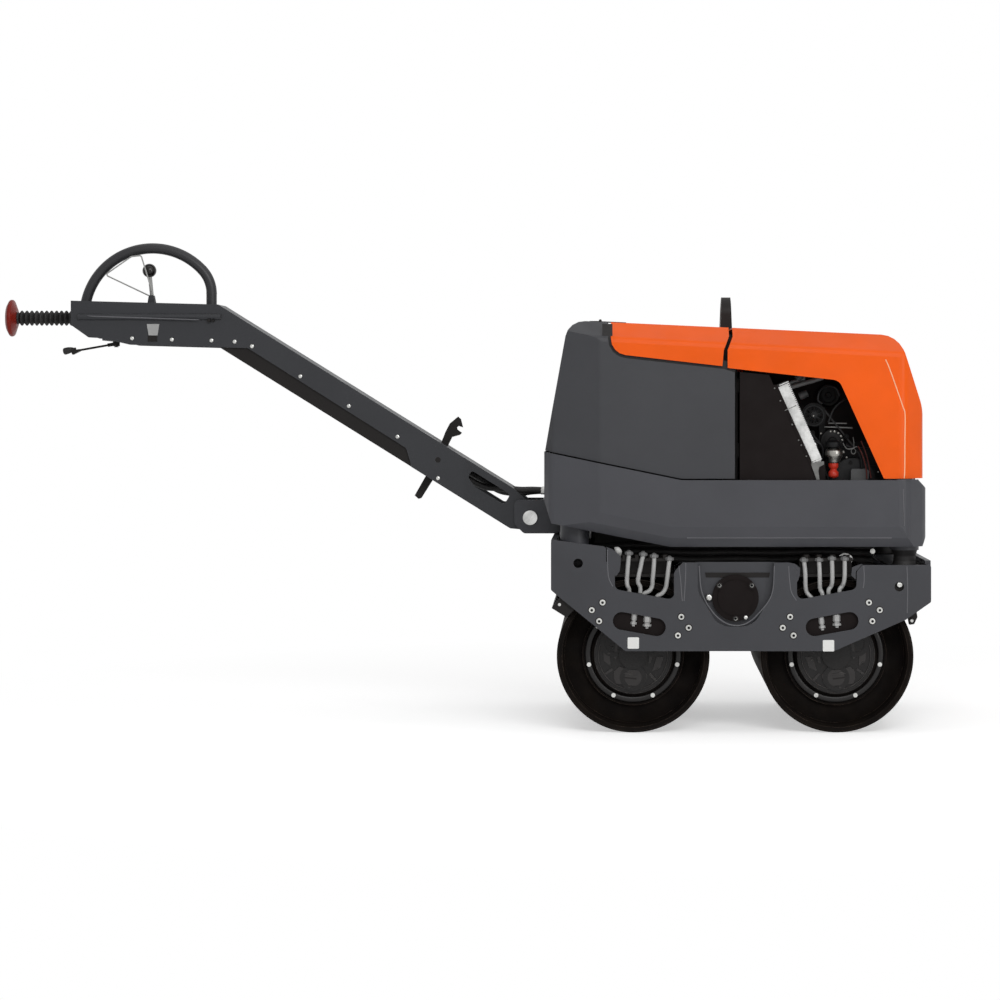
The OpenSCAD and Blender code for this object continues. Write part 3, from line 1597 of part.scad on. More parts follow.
ribs = 11;
boot_r = 22;
boot_valley_r = 14.5;
boot_wall = 2;
module stop_bellows() {
  pitch = (bellows_l - seat) / (ribs + 1);
  outer = [for (i = [0:ribs - 1]) each [
    [boot_valley_r, (i + 0.5) * pitch], [boot_r, (i + 0.85) * pitch], [boot_r, (i + 1.15) * pitch],
  ]];
  inner = [for (i = [ribs - 1:-1:0]) each [
    [boot_r - boot_wall, (i + 1.15) * pitch - boot_wall / 2],
    [boot_r - boot_wall, (i + 0.85) * pitch + boot_wall / 2],
    [boot_valley_r - boot_wall, (i + 0.5) * pitch],
  ]];
  color(rubber) placed()
    translate([head_rear - seat / 2 - bellows_l + seat, 0, pad_z])
      rotate([0, 90, 0])
        rotate_extrude()
          polygon(concat([[boot_valley_r - boot_wall, 0], [boot_valley_r, 0]], outer,
            [[boot_valley_r, (ribs + 0.5) * pitch], [boot_valley_r, bellows_l - seat * 1.5],
            [boot_valley_r - boot_wall, bellows_l - seat * 1.5],
            [boot_valley_r - boot_wall, (ribs + 0.5) * pitch]], inner));
}

// Throttle lever under the head: a boss, a rod and a paddle
throttle_back = 300;
throttle_x = bend[0] - throttle_back;
throttle_y = -24;
throttle_drop = 103;
throttle_z = bend[1] - throttle_drop;
throttle_plate = 30;
throttle_boss_h = 14;
throttle_boss_r = 10;
throttle_pin_r = 4;
throttle_l = 124;
throttle_rod_r = 3;
module throttle_lever() {
  z = throttle_z - throttle_boss_h / 2 - clear;
  color(black) placed()
    translate([throttle_x, throttle_y, z]) {
      difference() {
        cylinder(h = throttle_boss_h, r = throttle_boss_r, center = true);
        cylinder(h = throttle_boss_h + over, r = throttle_pin_r + fit, center = true);
      }
      rotate([0, 100, 180]) translate([0, 0, throttle_boss_r - clear]) {
        cylinder(h = throttle_boss_r * 1.6, r = throttle_rod_r * 1.7);
        cylinder(h = throttle_l - throttle_boss_r, r = throttle_rod_r);
      }
      rotate([0, 10, 180])
        translate([throttle_l - throttle_boss_r, 0, 0])
          rotate([90, 0, 0])
            linear_extrude(throttle_boss_r * 1.6, center = true)
              polygon(rounded([[-throttle_boss_r, -throttle_rod_r],
                [throttle_boss_r * 1.4, -throttle_boss_r],
                [throttle_boss_r * 1.9, throttle_boss_r * 0.4],
                [-throttle_boss_r, throttle_rod_r]], throttle_rod_r * 0.6));
    }
}

// Lock hook: a plate through the arm on a shaft between its cheeks
hook_s = 0.3;
hook_slot_l = 74;
hook_t = 10;
lever_pivot = on_arm(0.288 * arm_l, 0);
lever_shaft_r = 8;
hook_reach = 124;
hook_shares = [
  [-0.581, -0.839], [-0.492, -0.919], [-0.427, -0.903], [-0.097, -0.379], [0.129, 0.097],
  [0.21, 0.355], [0.29, 0.516], [0.468, 0.565], [0.516, 0.613], [0.411, 0.694], [0.403, 0.742],
  [0.444, 0.774], [0.54, 0.742], [0.492, 0.935], [0.427, 0.992], [0.339, 0.919], [0.234, 0.831],
  [0.137, 0.645], [0.048, 0.419], [-0.129, -0.081], [-0.306, -0.355],
];
module lock_hook() {
  color(black) placed() {
    across(-hook_t / 2, hook_t / 2)
      polygon([for (p = hook_shares * hook_reach) lever_pivot + p]);
    rod(lever_pivot, -arm_w / 2, arm_w / 2, lever_shaft_r);
  }
}

// Hoses from the arm over the pivot into the bed's rear wall
hose_r = 9;
hose_rise = 74;
hose_spread = [-1.5, -0.5, 0.5, 1.5];
module hose_bundle() {
  inside = on_arm(0.25 * arm_l, arm_d * 0.05);
  mouth = on_arm(nose_shares[3][0] * arm_l, arm_d * 0.23);
  wall = [-body_rear - seat, pivot_h + hose_rise];
  color(rubber) placed() difference() {
    for (s = hose_spread)
      bent([
        [inside[0], s * hose_r * 2.4, inside[1]],
        [mouth[0], s * hose_r * 2.4, mouth[1]],
        [wall[0] + bed_wall, s * hose_r * 2.4, wall[1] + bed_wall / 2],
      ], hose_r, hose_r * 10);
    box(wall[0], 0, -body_w, body_w, 0, sky);
  }
}

side_plate_right();
side_plate_left();
front_bumper();
rear_bumper();
cross_beams();
exciter_housing();
exciter_covers();
exciter_bearings();
exciter_shaft();
front_drum_carriers();
rear_drum_carriers();
drive_motors();
motor_fittings();
frame_bolts();
scrapers();
isolators();
hydraulic_pipes();
valve_blocks();
front_drum();
front_drum_hub();
front_hub_bolts();
rear_drum();
rear_drum_hub();
rear_hub_bolts();
engine_bed();
lifting_frame();
rear_cover();
bay_panel();
hinge_brackets();
engine_block();
cylinder_head();
alternator();
air_filter();
muffler();
fuel_filter();
radiator();
fuel_tank();
hydraulic_tank();
battery();
hydraulic_pump();
drive_belt();
crank_pulley();
fan_pulley();
front_hood();
hood_hinge_leaves();
rear_lid();
lid_hinge_leaves();
drawbar_bracket();
drawbar_pin();
drawbar_arm();
arm_belly_cover();
loop_handle();
travel_lever();
travel_knob();
bail();
stop_pad();
stop_bellows();
throttle_lever();
lock_hook();
hose_bundle();
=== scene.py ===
# %% [markdown]
# A walk behind vibratory roller, dressed for a studio picture.
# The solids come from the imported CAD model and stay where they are. This lesson gives each one its
# finish and adds what is too fine for CAD: hoses, screws, fins, wires and the bellows.
# Everything is in metres: +X is the roller's front, -Y the side that faces the camera, +Z is up.

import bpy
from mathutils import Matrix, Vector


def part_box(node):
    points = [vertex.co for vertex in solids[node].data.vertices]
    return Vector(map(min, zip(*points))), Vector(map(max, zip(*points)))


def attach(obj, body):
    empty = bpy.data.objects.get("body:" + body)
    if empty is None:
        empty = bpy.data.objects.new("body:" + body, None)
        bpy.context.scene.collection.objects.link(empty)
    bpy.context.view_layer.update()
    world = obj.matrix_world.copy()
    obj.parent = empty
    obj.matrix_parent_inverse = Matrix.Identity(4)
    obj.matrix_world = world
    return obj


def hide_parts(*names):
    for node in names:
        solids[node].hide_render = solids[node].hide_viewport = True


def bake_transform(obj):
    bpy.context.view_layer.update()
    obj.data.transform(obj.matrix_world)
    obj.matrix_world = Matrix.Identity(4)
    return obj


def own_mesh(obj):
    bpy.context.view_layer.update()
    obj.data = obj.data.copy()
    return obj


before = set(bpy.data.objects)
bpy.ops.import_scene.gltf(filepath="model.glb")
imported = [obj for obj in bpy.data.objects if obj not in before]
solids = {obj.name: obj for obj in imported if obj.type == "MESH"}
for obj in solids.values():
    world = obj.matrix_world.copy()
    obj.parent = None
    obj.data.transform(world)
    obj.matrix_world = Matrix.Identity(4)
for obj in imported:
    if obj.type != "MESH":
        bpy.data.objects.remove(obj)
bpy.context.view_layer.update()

import math

import bmesh
import bpy
from mathutils import Vector

both_sides = (-1, 1)
toward_camera = (0, -1, 0)
front_drum_x, rear_drum_x, drum_z = 1.0528, 0.4928, 0.21
plate_face = 0.41

# %% [markdown]
# The photograph was taken from the right-hand side with a long lens, level with the roof.
# The vanishing point of the drums' axes sits right of the picture's middle and above it, so the
# camera looks straight along +Y and its frame is shifted, as on a camera with a rising front.

# %% Camera
lens_data = bpy.data.cameras.new("studio_camera")
lens_data.sensor_width = 36
lens_data.lens = 99.67
lens_data.shift_x = -0.12
lens_data.shift_y = -0.105
lens_data.clip_end = 60
camera = bpy.data.objects.new("studio_camera", lens_data)
bpy.context.scene.collection.objects.link(camera)
camera.location = (0.4566, -7.975, 0.927)
camera.rotation_euler = (math.radians(90), 0, 0)
bpy.context.scene.camera = camera
print("camera", tuple(camera.location), "lens", lens_data.lens)

# %% [markdown]
# Every finish starts the same way: a Principled shader, and a coordinate that is fixed to the
# object, so that a pattern keeps its real size and travels with a part that moves.
# These small helpers keep each finish to a few lines.

# %% Helpers for finishes
def start_finish(name, roughness, metallic=0.0, gloss=0.5):
    material = bpy.data.materials.new(name)
    material.use_nodes = True
    tree = material.node_tree
    shader = tree.nodes["Principled BSDF"]
    shader.inputs["Roughness"].default_value = roughness
    shader.inputs["Metallic"].default_value = metallic
    shader.inputs["Specular IOR Level"].default_value = gloss
    where = tree.nodes.new("ShaderNodeTexCoord").outputs["Object"]
    return material, tree, shader, where


def noise(tree, where, scale, detail=3.0, stretch=None):
    if stretch is not None:
        mapping = tree.nodes.new("ShaderNodeMapping")
        mapping.inputs["Scale"].default_value = stretch
        tree.links.new(where, mapping.inputs["Vector"])
        where = mapping.outputs["Vector"]
    texture = tree.nodes.new("ShaderNodeTexNoise")
    texture.inputs["Scale"].default_value = scale
    texture.inputs["Detail"].default_value = detail
    tree.links.new(where, texture.inputs["Vector"])
    return texture.outputs["Fac"]


def spread(tree, value, low, high, to_low=0.0, to_high=1.0):
    ranged = tree.nodes.new("ShaderNodeMapRange")
    for socket, number in zip(("From Min", "From Max", "To Min", "To Max"), (low, high, to_low, to_high)):
        ranged.inputs[socket].default_value = number
    tree.links.new(value, ranged.inputs["Value"])
    return ranged.outputs["Result"]


def maths(tree, kind, operation, *operands):
    """The outputs of a Math or VectorMath node; an operand is another node's output or a plain value."""
    node = tree.nodes.new("ShaderNode" + kind)
    node.operation = operation
    for socket, operand in zip(node.inputs, operands):
        if isinstance(operand, bpy.types.NodeSocket):
            tree.links.new(operand, socket)
        else:
            socket.default_value = operand
    return node.outputs


def two_tone(tree, factor, first, second):
    mix = tree.nodes.new("ShaderNodeMix")
    mix.data_type = "RGBA"
    tree.links.new(factor, mix.inputs["Factor"])
    for socket, tone in ((mix.inputs["A"], first), (mix.inputs["B"], second)):
        if isinstance(tone, bpy.types.NodeSocket):
            tree.links.new(tone, socket)
        else:
            socket.default_value = (*tone, 1)
    return mix.outputs["Result"]


def bump(tree, shader, height, depth, strength=1.0):
    node = tree.nodes.new("ShaderNodeBump")
    node.inputs["Strength"].default_value = strength
    node.inputs["Distance"].default_value = depth
    tree.links.new(height, node.inputs["Height"])
    if shader.inputs["Normal"].links:
        tree.links.new(shader.inputs["Normal"].links[0].from_socket, node.inputs["Normal"])
    tree.links.new(node.outputs["Normal"], shader.inputs["Normal"])


def edge_mask(tree, width):
    # A bevelled normal differs from the true one only near an edge
    bevel = tree.nodes.new("ShaderNodeBevel")
    bevel.samples = 4
    bevel.inputs["Radius"].default_value = width
    true = tree.nodes.new("ShaderNodeNewGeometry")
    dot = maths(tree, "VectorMath", "DOT_PRODUCT", bevel.outputs["Normal"], true.outputs["Normal"])
    return spread(tree, dot["Value"], 0.98, 0.8)


def wear_and_highlight_edges(tree, tone, worn_and_lit_tone, width, patches):
    """The tone, turned to another colour near an edge wherever the patches allow it: partly scuffed paint,
    partly a painted highlight on the edge.
    """
    rubbed = maths(tree, "Math", "MULTIPLY", edge_mask(tree, width), patches)
    return two_tone(tree, rubbed["Value"], tone, worn_and_lit_tone)


print("finish helpers ready")

# %% [markdown]
# Powder paint covers most of the roller. Real powder coat is not flat: it has a fine orange peel,
# a slightly uneven gloss, and it thins to a paler line where a plate's edge has been rubbed.
# That paler line is also a painted highlight, for the light that a sharp edge catches.

# %% Paint
def paint(name, colour, roughness=0.4, worn_and_lit_tone=(0.35, 0.34, 0.33), edge_wear_and_highlight=0.3, gloss=0.3):
    material, tree, shader, where = start_finish(name, roughness, 0.0, gloss)
    deep = tuple(c * 0.88 for c in colour)
    tone = two_tone(tree, spread(tree, noise(tree, where, 5, 4), 0.35, 0.7), colour, deep)
    patches = spread(tree, noise(tree, where, 60, 5), 0.45, 0.65, 0.0, edge_wear_and_highlight)
    # Paler near the edges: partly rubbed paint, partly a painted highlight.
    tone = wear_and_highlight_edges(tree, tone, worn_and_lit_tone, 0.0012, patches)
    tree.links.new(tone, shader.inputs["Base Color"])
    tree.links.new(spread(tree, noise(tree, where, 18, 3), 0.3, 0.7, roughness - 0.05, roughness + 0.08),
                   shader.inputs["Roughness"])
    bump(tree, shader, noise(tree, where, 700, 1), 0.0002, 0.25)
    return material


frame_paint = paint("frame_paint", (0.044, 0.045, 0.051), 0.42)
arm_paint = paint("arm_paint", (0.028, 0.029, 0.033), 0.44)
handle_paint = paint("handle_paint", (0.021, 0.021, 0.0235), 0.42, gloss=0.35)
bed_paint = paint("bed_paint", (0.057, 0.058, 0.066), 0.42)
# A paler paint for thin beads along folds and ribs: a painted highlight.
fold_highlight_paint = paint("fold_highlight_paint", (0.12, 0.12, 0.13), 0.36, edge_wear_and_highlight=0.5)
cover_paint = paint("cover_paint", (0.042, 0.043, 0.048), 0.46)
orange_paint = paint("orange_paint", (0.9, 0.11, 0.001), 0.36, (0.95, 0.3, 0.1), 0.2, 0.22)
black_paint_finish = paint("black_paint_finish", (0.008, 0.0065, 0.006), 0.5, (0.12, 0.11, 0.1), 0.2, 0.2)
panel_paint = paint("panel_paint", (0.0075, 0.005, 0.0048), 0.62, (0.05, 0.045, 0.04), 0.2, 0.1)
print("paints:", frame_paint.name, orange_paint.name)

# %% [markdown]
# Bare metal comes in a few kinds here: zinc plated fasteners, a cast grey for engine parts, bright
# and dull steel, and the rolled shell of the drums. A drum is nearly black inside; its tread, which
# is what lies furthest from the axis, is rubbed to a browner steel.

# %% Metals
def metal(name, colour, roughness, stretch, grain, depth):
    material, tree, shader, where = start_finish(name, roughness, 1.0)
    dull = tuple(c * 0.7 for c in colour)
    tone = two_tone(tree, spread(tree, noise(tree, where, 30, 4), 0.4, 0.7), colour, dull)
    tree.links.new(tone, shader.inputs["Base Color"])
    fine = noise(tree, where, grain, 3, stretch)
    tree.links.new(spread(tree, fine, 0.2, 0.8, roughness * 0.75, roughness * 1.3),
                   shader.inputs["Roughness"])
    bump(tree, shader, fine, depth, 0.4)
    return material


zinc = metal("zinc", (0.6, 0.6, 0.58), 0.34, (1, 1, 1), 400, 0.0001)
bright_steel = metal("bright_steel", (0.62, 0.62, 0.61), 0.28, (1, 20, 1), 60, 0.0001)
cast_grey = metal("cast_grey", (0.11, 0.11, 0.115), 0.5, (1, 1, 1), 500, 0.0004)
radiator_metal = metal("radiator_metal", (0.60, 0.60, 0.59), 0.6, (1, 1, 1), 200, 0.0001)


def drum_steel(name, axis_x):
    material, tree, shader, where = start_finish(name, 0.5, 0.1, 0.06)
    patch = spread(tree, noise(tree, where, 12, 6), 0.4, 0.7)
    tone = two_tone(tree, patch, (0.0045, 0.0034, 0.003), (0.009, 0.0065, 0.005))
    from_axis = maths(tree, "VectorMath", "SUBTRACT", where, (axis_x, 0, drum_z))
    flat = maths(tree, "VectorMath", "MULTIPLY", from_axis["Vector"], (1, 0, 1))
    radius = maths(tree, "VectorMath", "LENGTH", flat["Vector"])
    streaks = noise(tree, where, 7, 6, (3, 1, 3))
    tread = two_tone(tree, spread(tree, streaks, 0.4, 0.65), (0.026, 0.021, 0.019), (0.062, 0.052, 0.046))
    tone = two_tone(tree, spread(tree, radius["Value"], 0.2085, 0.2096), tone, tread)
    patches = spread(tree, noise(tree, where, 30, 5), 0.35, 0.6, 0.1, 0.9)
    # The tan along the drum's edges is partly rubbed steel and partly a painted highlight on the rim.
    tone = wear_and_highlight_edges(tree, tone, (0.13, 0.095, 0.075), 0.0015, patches)
    tree.links.new(tone, shader.inputs["Base Color"])
    tree.links.new(spread(tree, noise(tree, where, 25, 4), 0.3, 0.7, 0.6, 0.8), shader.inputs["Roughness"])
    bump(tree, shader, noise(tree, where, 120, 5), 0.0006, 0.3)
    return material


front_drum_finish = drum_steel("front_drum_steel", front_drum_x)
rear_drum_finish = drum_steel("rear_drum_steel", rear_drum_x)
dull_steel = metal("dull_steel", (0.16, 0.16, 0.155), 0.45, (1, 1, 1), 200, 0.0002)
# A darker copy of the plated steel, used for bolts and the filter can inside the engine bay: painted shade.
shaded_steel = metal("shaded_steel", (0.30, 0.29, 0.27), 0.3, (1, 1, 1), 90, 0.0004)
print("metals:", zinc.name, bright_steel.name, front_drum_finish.name)

# %% [markdown]
# Castings, moulded plastic and rubber differ mostly in their grain: sand cast iron is coarse,
# moulded tanks carry a fine leather-like grain, and rubber is matt with a faint grey bloom.

# %% Castings, plastic and rubber
def grained(name, colour, roughness, grain, depth, bloom=0.0, gloss=0.3):
    material, tree, shader, where = start_finish(name, roughness, 0.0, gloss)
    pale = tuple(c + bloom for c in colour)
    tone = two_tone(tree, spread(tree, noise(tree, where, 22, 5), 0.45, 0.75), colour, pale)
    tree.links.new(tone, shader.inputs["Base Color"])
    bump(tree, shader, noise(tree, where, grain, 2), depth, 0.5)
    return material


hub_casting = grained("hub_casting", (0.0048, 0.004, 0.0038), 0.42, 220, 0.0012, 0.004, 0.25)
engine_iron = grained("engine_iron", (0.005, 0.005, 0.0055), 0.4, 300, 0.0005, 0.005, 0.2)
deep_black = grained("deep_black", (0.0028, 0.0026, 0.0026), 0.5, 300, 0.0004, 0.002, 0.12)
pipe_metal = grained("pipe_metal", (0.36, 0.36, 0.355), 0.28, 200, 0.00002, 0.05, 0.6)
pipe_grey = grained("pipe_grey", (0.15, 0.15, 0.15), 0.4, 200, 0.0001, 0.05, 0.4)
ring_black = grained("ring_black", (0.0055, 0.0045, 0.0043), 0.36, 400, 0.0001, 0.003, 0.3)
worn_casting = grained("worn_casting", (0.065, 0.066, 0.067), 0.5, 300, 0.0005, 0.02, 0.3)
lead_red = grained("lead_red", (0.10, 0.012, 0.008), 0.4, 300, 0.0001, 0.01, 0.3)
tank_plastic = grained("tank_plastic", (0.02, 0.02, 0.022), 0.5, 900, 0.0002, 0.005)
rubber = grained("rubber", (0.014, 0.013, 0.013), 0.6, 600, 0.0001, 0.012)
red_plastic = grained("red_plastic", (0.55, 0.035, 0.018), 0.3, 500, 0.00005, 0.02)
orange_plastic = grained("orange_plastic", (0.20, 0.014, 0.008), 0.36, 500, 0.00005, 0.01, 0.15)
knob_plastic = grained("knob_plastic", (0.006, 0.0045, 0.004), 0.22, 300, 0.00003, 0.0, 0.35)
wire_grey = grained("wire_grey", (0.34, 0.34, 0.33), 0.35, 300, 0.00002, 0.04, 0.4)
# A pale orange for the painted highlight along the hood's folds.
highlight_orange = grained("highlight_orange", (0.95, 0.55, 0.32), 0.3, 300, 0.00002, 0.03, 0.5)
# The carrier's raised forms, lighter than the disc and pale at every edge: a painted highlight.
relief_casting_highlit = paint("relief_casting_highlit", (0.021, 0.0185, 0.018), 0.42, (0.15, 0.14, 0.13), 1.0)
white_patch = grained("white_patch", (0.8, 0.8, 0.78), 0.4, 400, 0.00002)
print("grained finishes ready")

# %% [markdown]
# Each solid of the CAD model now gets its finish by name, and a narrow bevel on its sharp edges,
# because a real bent or cut plate never ends in a perfect corner. The bevel catches the light.

# %% Finish the CAD solids
finish_of = {
    frame_paint: ["side_plate_right", "side_plate_left", "front_bumper", "rear_bumper",
                  "exciter_housing", "drawbar_bracket"],
    arm_paint: ["drawbar_arm"],
    handle_paint: ["loop_handle"],
    bed_paint: ["engine_bed"],
    cover_paint: ["rear_cover"],
    orange_paint: ["front_hood", "rear_lid"],
    panel_paint: ["bay_panel", "exciter_covers"],
    black_paint_finish: ["hinge_brackets", "cross_beams", "hood_hinge_leaves", "lid_hinge_leaves",
                         "arm_belly_cover", "throttle_lever", "lock_hook", "valve_blocks",
                         "lifting_frame", "scrapers"],
    front_drum_finish: ["front_drum", "front_drum_hub"],
    rear_drum_finish: ["rear_drum", "rear_drum_hub"],
    bright_steel: ["exciter_shaft", "exciter_bearings", "drawbar_pin"],
    wire_grey: ["travel_lever", "bail"],
    pipe_metal: ["hydraulic_pipes"],
    hub_casting: ["front_drum_carriers", "rear_drum_carriers"],
    zinc: ["frame_bolts", "front_hub_bolts", "rear_hub_bolts"],
    dull_steel: ["motor_fittings"],
    cast_grey: ["alternator", "hydraulic_pump", "muffler"],
    engine_iron: ["engine_block", "cylinder_head", "drive_motors", "crank_pulley"],
    deep_black: ["fan_pulley"],
    tank_plastic: ["fuel_tank", "hydraulic_tank", "battery", "air_filter"],
    radiator_metal: ["radiator"],
    rubber: ["isolators", "drive_belt", "stop_bellows", "hose_bundle"],
    orange_plastic: ["stop_pad"],
    red_plastic: ["fuel_filter"],
    knob_plastic: ["travel_knob"],
}


def dress(solid, material, bevel=0.0012):
    solid.data.materials.clear()
    solid.data.materials.append(material)
    edge = solid.modifiers.new("edge_bevel", "BEVEL")
    edge.width = bevel
    edge.segments = 2
    edge.limit_method = "ANGLE"
    edge.angle_limit = math.radians(40)
    edge.harden_normals = True


dressed = set()
for material, names in finish_of.items():
    for name in names:
        dress(solids[name], material)
        dressed.add(name)
print("dressed", len(dressed), "left", sorted(set(solids) - dressed))

# %% [markdown]
# The studio is a pale floor without a horizon. Near the roller the floor is an ordinary matt
# surface that takes its shadow; further out it fades to plain white, as a paper sweep does.

# %% Floor and backdrop
def seen_rays(tree):
    """1 for rays that show the backdrop (camera, mirror and glass rays), 0 for rays that light things."""
    rays = tree.nodes.new("ShaderNodeLightPath")
    total = rays.outputs["Is Camera Ray"]
    for name in ("Is Glossy Ray", "Is Transmission Ray"):
        total = maths(tree, "Math", "MAXIMUM", total, rays.outputs[name])["Value"]
    return total


def studio_floor():
    material = bpy.data.materials.new("studio_floor")
    material.use_nodes = True
    tree = material.node_tree
    shader = tree.nodes["Principled BSDF"]
    shader.inputs["Base Color"].default_value = (0.93, 0.93, 0.93, 1)
    shader.inputs["Roughness"].default_value = 0.7
    where = tree.nodes.new("ShaderNodeTexCoord").outputs["Object"]
    distance = maths(tree, "VectorMath", "LENGTH", where)
    seen = seen_rays(tree)
    lift = tree.nodes.new("ShaderNodeEmission")
    tree.links.new(spread(tree, seen, 0, 1, 0.0, 0.47), lift.inputs["Strength"])
    lifted = tree.nodes.new("ShaderNodeAddShader")
    tree.links.new(shader.outputs[0], lifted.inputs[0])
    tree.links.new(lift.outputs[0], lifted.inputs[1])
    far = maths(tree, "Math", "MULTIPLY", spread(tree, distance["Value"], 0.9, 2.6), seen)
    white = tree.nodes.new("ShaderNodeEmission")
    white.inputs["Strength"].default_value = 1.0
    mix = tree.nodes.new("ShaderNodeMixShader")
    tree.links.new(far["Value"], mix.inputs[0])
    tree.links.new(lifted.outputs[0], mix.inputs[1])
    tree.links.new(white.outputs[0], mix.inputs[2])
    tree.links.new(mix.outputs[0], tree.nodes["Material Output"].inputs["Surface"])
    return material


bpy.ops.mesh.primitive_plane_add(size=60, location=(0.75, 0, 0))
floor = bpy.context.object
floor.name = "studio_floor"
floor.data.materials.append(studio_floor())
print("floor", floor.dimensions[:])

# %% [markdown]
# The light is soft and comes from above and from the camera's side: a wide lamp over the roller, a
# stronger one in front, which stands further off, and a narrow upright one that draws the folds at
# the front corner. A white world fills the shadows; the camera and reflections see it as plain white.

# %% Lamps and world
def soft_lamp(name, place, aim, size, power):
    data = bpy.data.lights.new(name, "AREA")
    data.shape = "RECTANGLE"
    data.size, data.size_y = size
    data.energy = power
    lamp = bpy.data.objects.new(name, data)
    bpy.context.scene.collection.objects.link(lamp)
    lamp.location = place
    lamp.rotation_euler = (Vector(aim) - Vector(place)).to_track_quat("-Z", "Y").to_euler()


soft_lamp("over_lamp", (0.6, -0.4, 4.2), (0.6, 0, 0.6), (4.5, 2.6), 27)
soft_lamp("front_lamp", (1.4, -5.0, 3.5), (0.8, 0, 0.6), (3.2, 1.6), 112)
soft_lamp("fold_lamp", (4.4, -5.2, 1.5), (0.9, 0, 0.8), (0.12, 2.6), 55)

world = bpy.data.worlds.new("studio_world")
bpy.context.scene.world = world
world.use_nodes = True
sky_tree = world.node_tree
sky = sky_tree.nodes["Background"]
sky.inputs["Color"].default_value = (1, 1, 1, 1)
sky_tree.links.new(spread(sky_tree, seen_rays(sky_tree), 0, 1, 0.32, 1.0), sky.inputs["Strength"])
bpy.context.scene.view_settings.view_transform = "Standard"

# %% [markdown]
# The rest of the lesson adds small pieces. Each helper below makes one kind of shape that a
# workshop makes: a turned part, a bent tube, a cut plate and a screw.
# `settle` smooths a piece, gives it its finish and says which body of the model it moves with.

# %% Shape helpers
def settle(piece, body, material, slot, smooth=40):
    """Finish a piece; body is the one that it rides on, or None for a piece that rides on none."""
    piece.data.materials.append(material)
    piece.data.polygons.foreach_set("use_smooth", [True] * len(piece.data.polygons))
    piece.data.set_sharp_from_angle(angle=math.radians(smooth))
    if body is not None:
        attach(piece, body)


def from_bmesh(name, shape):
    data = bpy.data.meshes.new(name)
    bmesh.ops.recalc_face_normals(shape, faces=shape.faces)
    shape.to_mesh(data)
    shape.free()
    piece = bpy.data.objects.new(name, data)
    bpy.context.scene.collection.objects.link(piece)
    return piece


def made(name, shape, *look):
    """A shape becomes a piece; look is what settle is told after the piece itself."""
    settle(from_bmesh(name, shape), *look)


def turned(shape, profile, place, axis, count=28):
    """A closed lathe form: profile is (radius, distance along the axis) from one end to the other."""
    turn = Vector((0, 0, 1)).rotation_difference(Vector(axis)).to_matrix()
    rings = []
    for radius, along in profile:
        if radius < 1e-6:
            rings.append([shape.verts.new(turn @ Vector((0, 0, along)) + Vector(place))])
        else:
            rings.append([shape.verts.new(turn @ Vector((radius * math.cos(a), radius * math.sin(a), along))
                                          + Vector(place))
                          for a in (2 * math.pi * i / count for i in range(count))])
    for first, second in zip(rings, rings[1:]):
        for i in range(count):
            j = (i + 1) % count
            if len(first) == 1 and len(second) > 1:
                shape.faces.new((first[0], second[j], second[i]))
            elif len(second) == 1 and len(first) > 1:
                shape.faces.new((first[i], first[j], second[0]))
            elif len(first) > 1:
                shape.faces.new((first[i], first[j], second[j], second[i]))


def smooth_path(points, steps=8):
    """A curve through every point, without sharp turns (a Catmull-Rom spline)."""
    pts = [Vector(p) for p in points]
    pts = [pts[0] * 2 - pts[1]] + pts + [pts[-1] * 2 - pts[-2]]
    out = []
    for a, b, c, d in zip(pts, pts[1:], pts[2:], pts[3:]):
        for i in range(steps):
            t = i / steps
            out.append(0.5 * (2 * b + (c - a) * t + (2 * a - 5 * b + 4 * c - d) * t * t
                              + (3 * b - a - 3 * c + d) * t ** 3))
    return out + [pts[-2]]


def tube(shape, path, radius, count=12):
    """A tube along a path with closed ends; radius is one number or one for each point."""
    radii = radius if isinstance(radius, list) else [radius] * len(path)
    side = None
    rings = []
    for i, at in enumerate(path):
        ahead = (path[min(i + 1, len(path) - 1)] - path[max(i - 1, 0)]).normalized()
        if side is None:
            side = ahead.orthogonal().normalized()
        side = (side - ahead * side.dot(ahead)).normalized()
        other = ahead.cross(side)
        rings.append([shape.verts.new(at + radii[i] * (math.cos(a) * side + math.sin(a) * other))
                      for a in (2 * math.pi * k / count for k in range(count))])
    for first, second in zip(rings, rings[1:]):
        for k in range(count):
            m = (k + 1) % count
            shape.faces.new((first[k], first[m], second[m], second[k]))
    shape.faces.new(rings[0][::-1])
    shape.faces.new(rings[-1])


def slab(shape, outline, y0, y1):
    """A plate drawn in side view as (x, z) points, between two places along Y."""
    near = [shape.verts.new((x, y0, z)) for x, z in outline]
    far = [shape.verts.new((x, y1, z)) for x, z in outline]
    shape.faces.new(near)
    shape.faces.new(far[::-1])
    for i in range(len(outline)):
        j = (i + 1) % len(outline)
        shape.faces.new((near[j], near[i], far[i], far[j]))


def sheets(name, outlines, material, slot, body="roller"):
    """One piece of several plates, each an outline and its two places along Y."""
    shape = bmesh.new()
    for outline, y0, y1 in outlines:
        slab(shape, outline, y0, y1)
    made(name, shape, body, material, slot, 30)


def mirrored(outline, inner, outer):
    """The same plate on the right and on the left side."""
    return [(outline, *sorted((side * inner, side * outer))) for side in both_sides]


def turned_pair(shape, profile, spot, y, count=28):
    """The same turned form on the right and on the left side, each facing outward."""
    for side in both_sides:
        turned(shape, profile, (spot.x, side * y, spot.z), (0, side, 0), count)


def screw_head(radius):
    """The profile of a domed screw head with its socket."""
    return [(share * radius, rise * radius) for share, rise in
            ((0, 0.25), (0.5, 0.25), (0.5, 0.62), (0.8, 0.5), (1, 0.2), (1, -0.2), (0, -0.2))]


def eased(stops, steps):
    """Numbers that run evenly from stop to stop, as smooth_path runs from point to point."""
    return [a + (b - a) * k / steps for a, b in zip(stops, stops[1:]) for k in range(steps)] + [stops[-1]]


print("shape helpers ready")
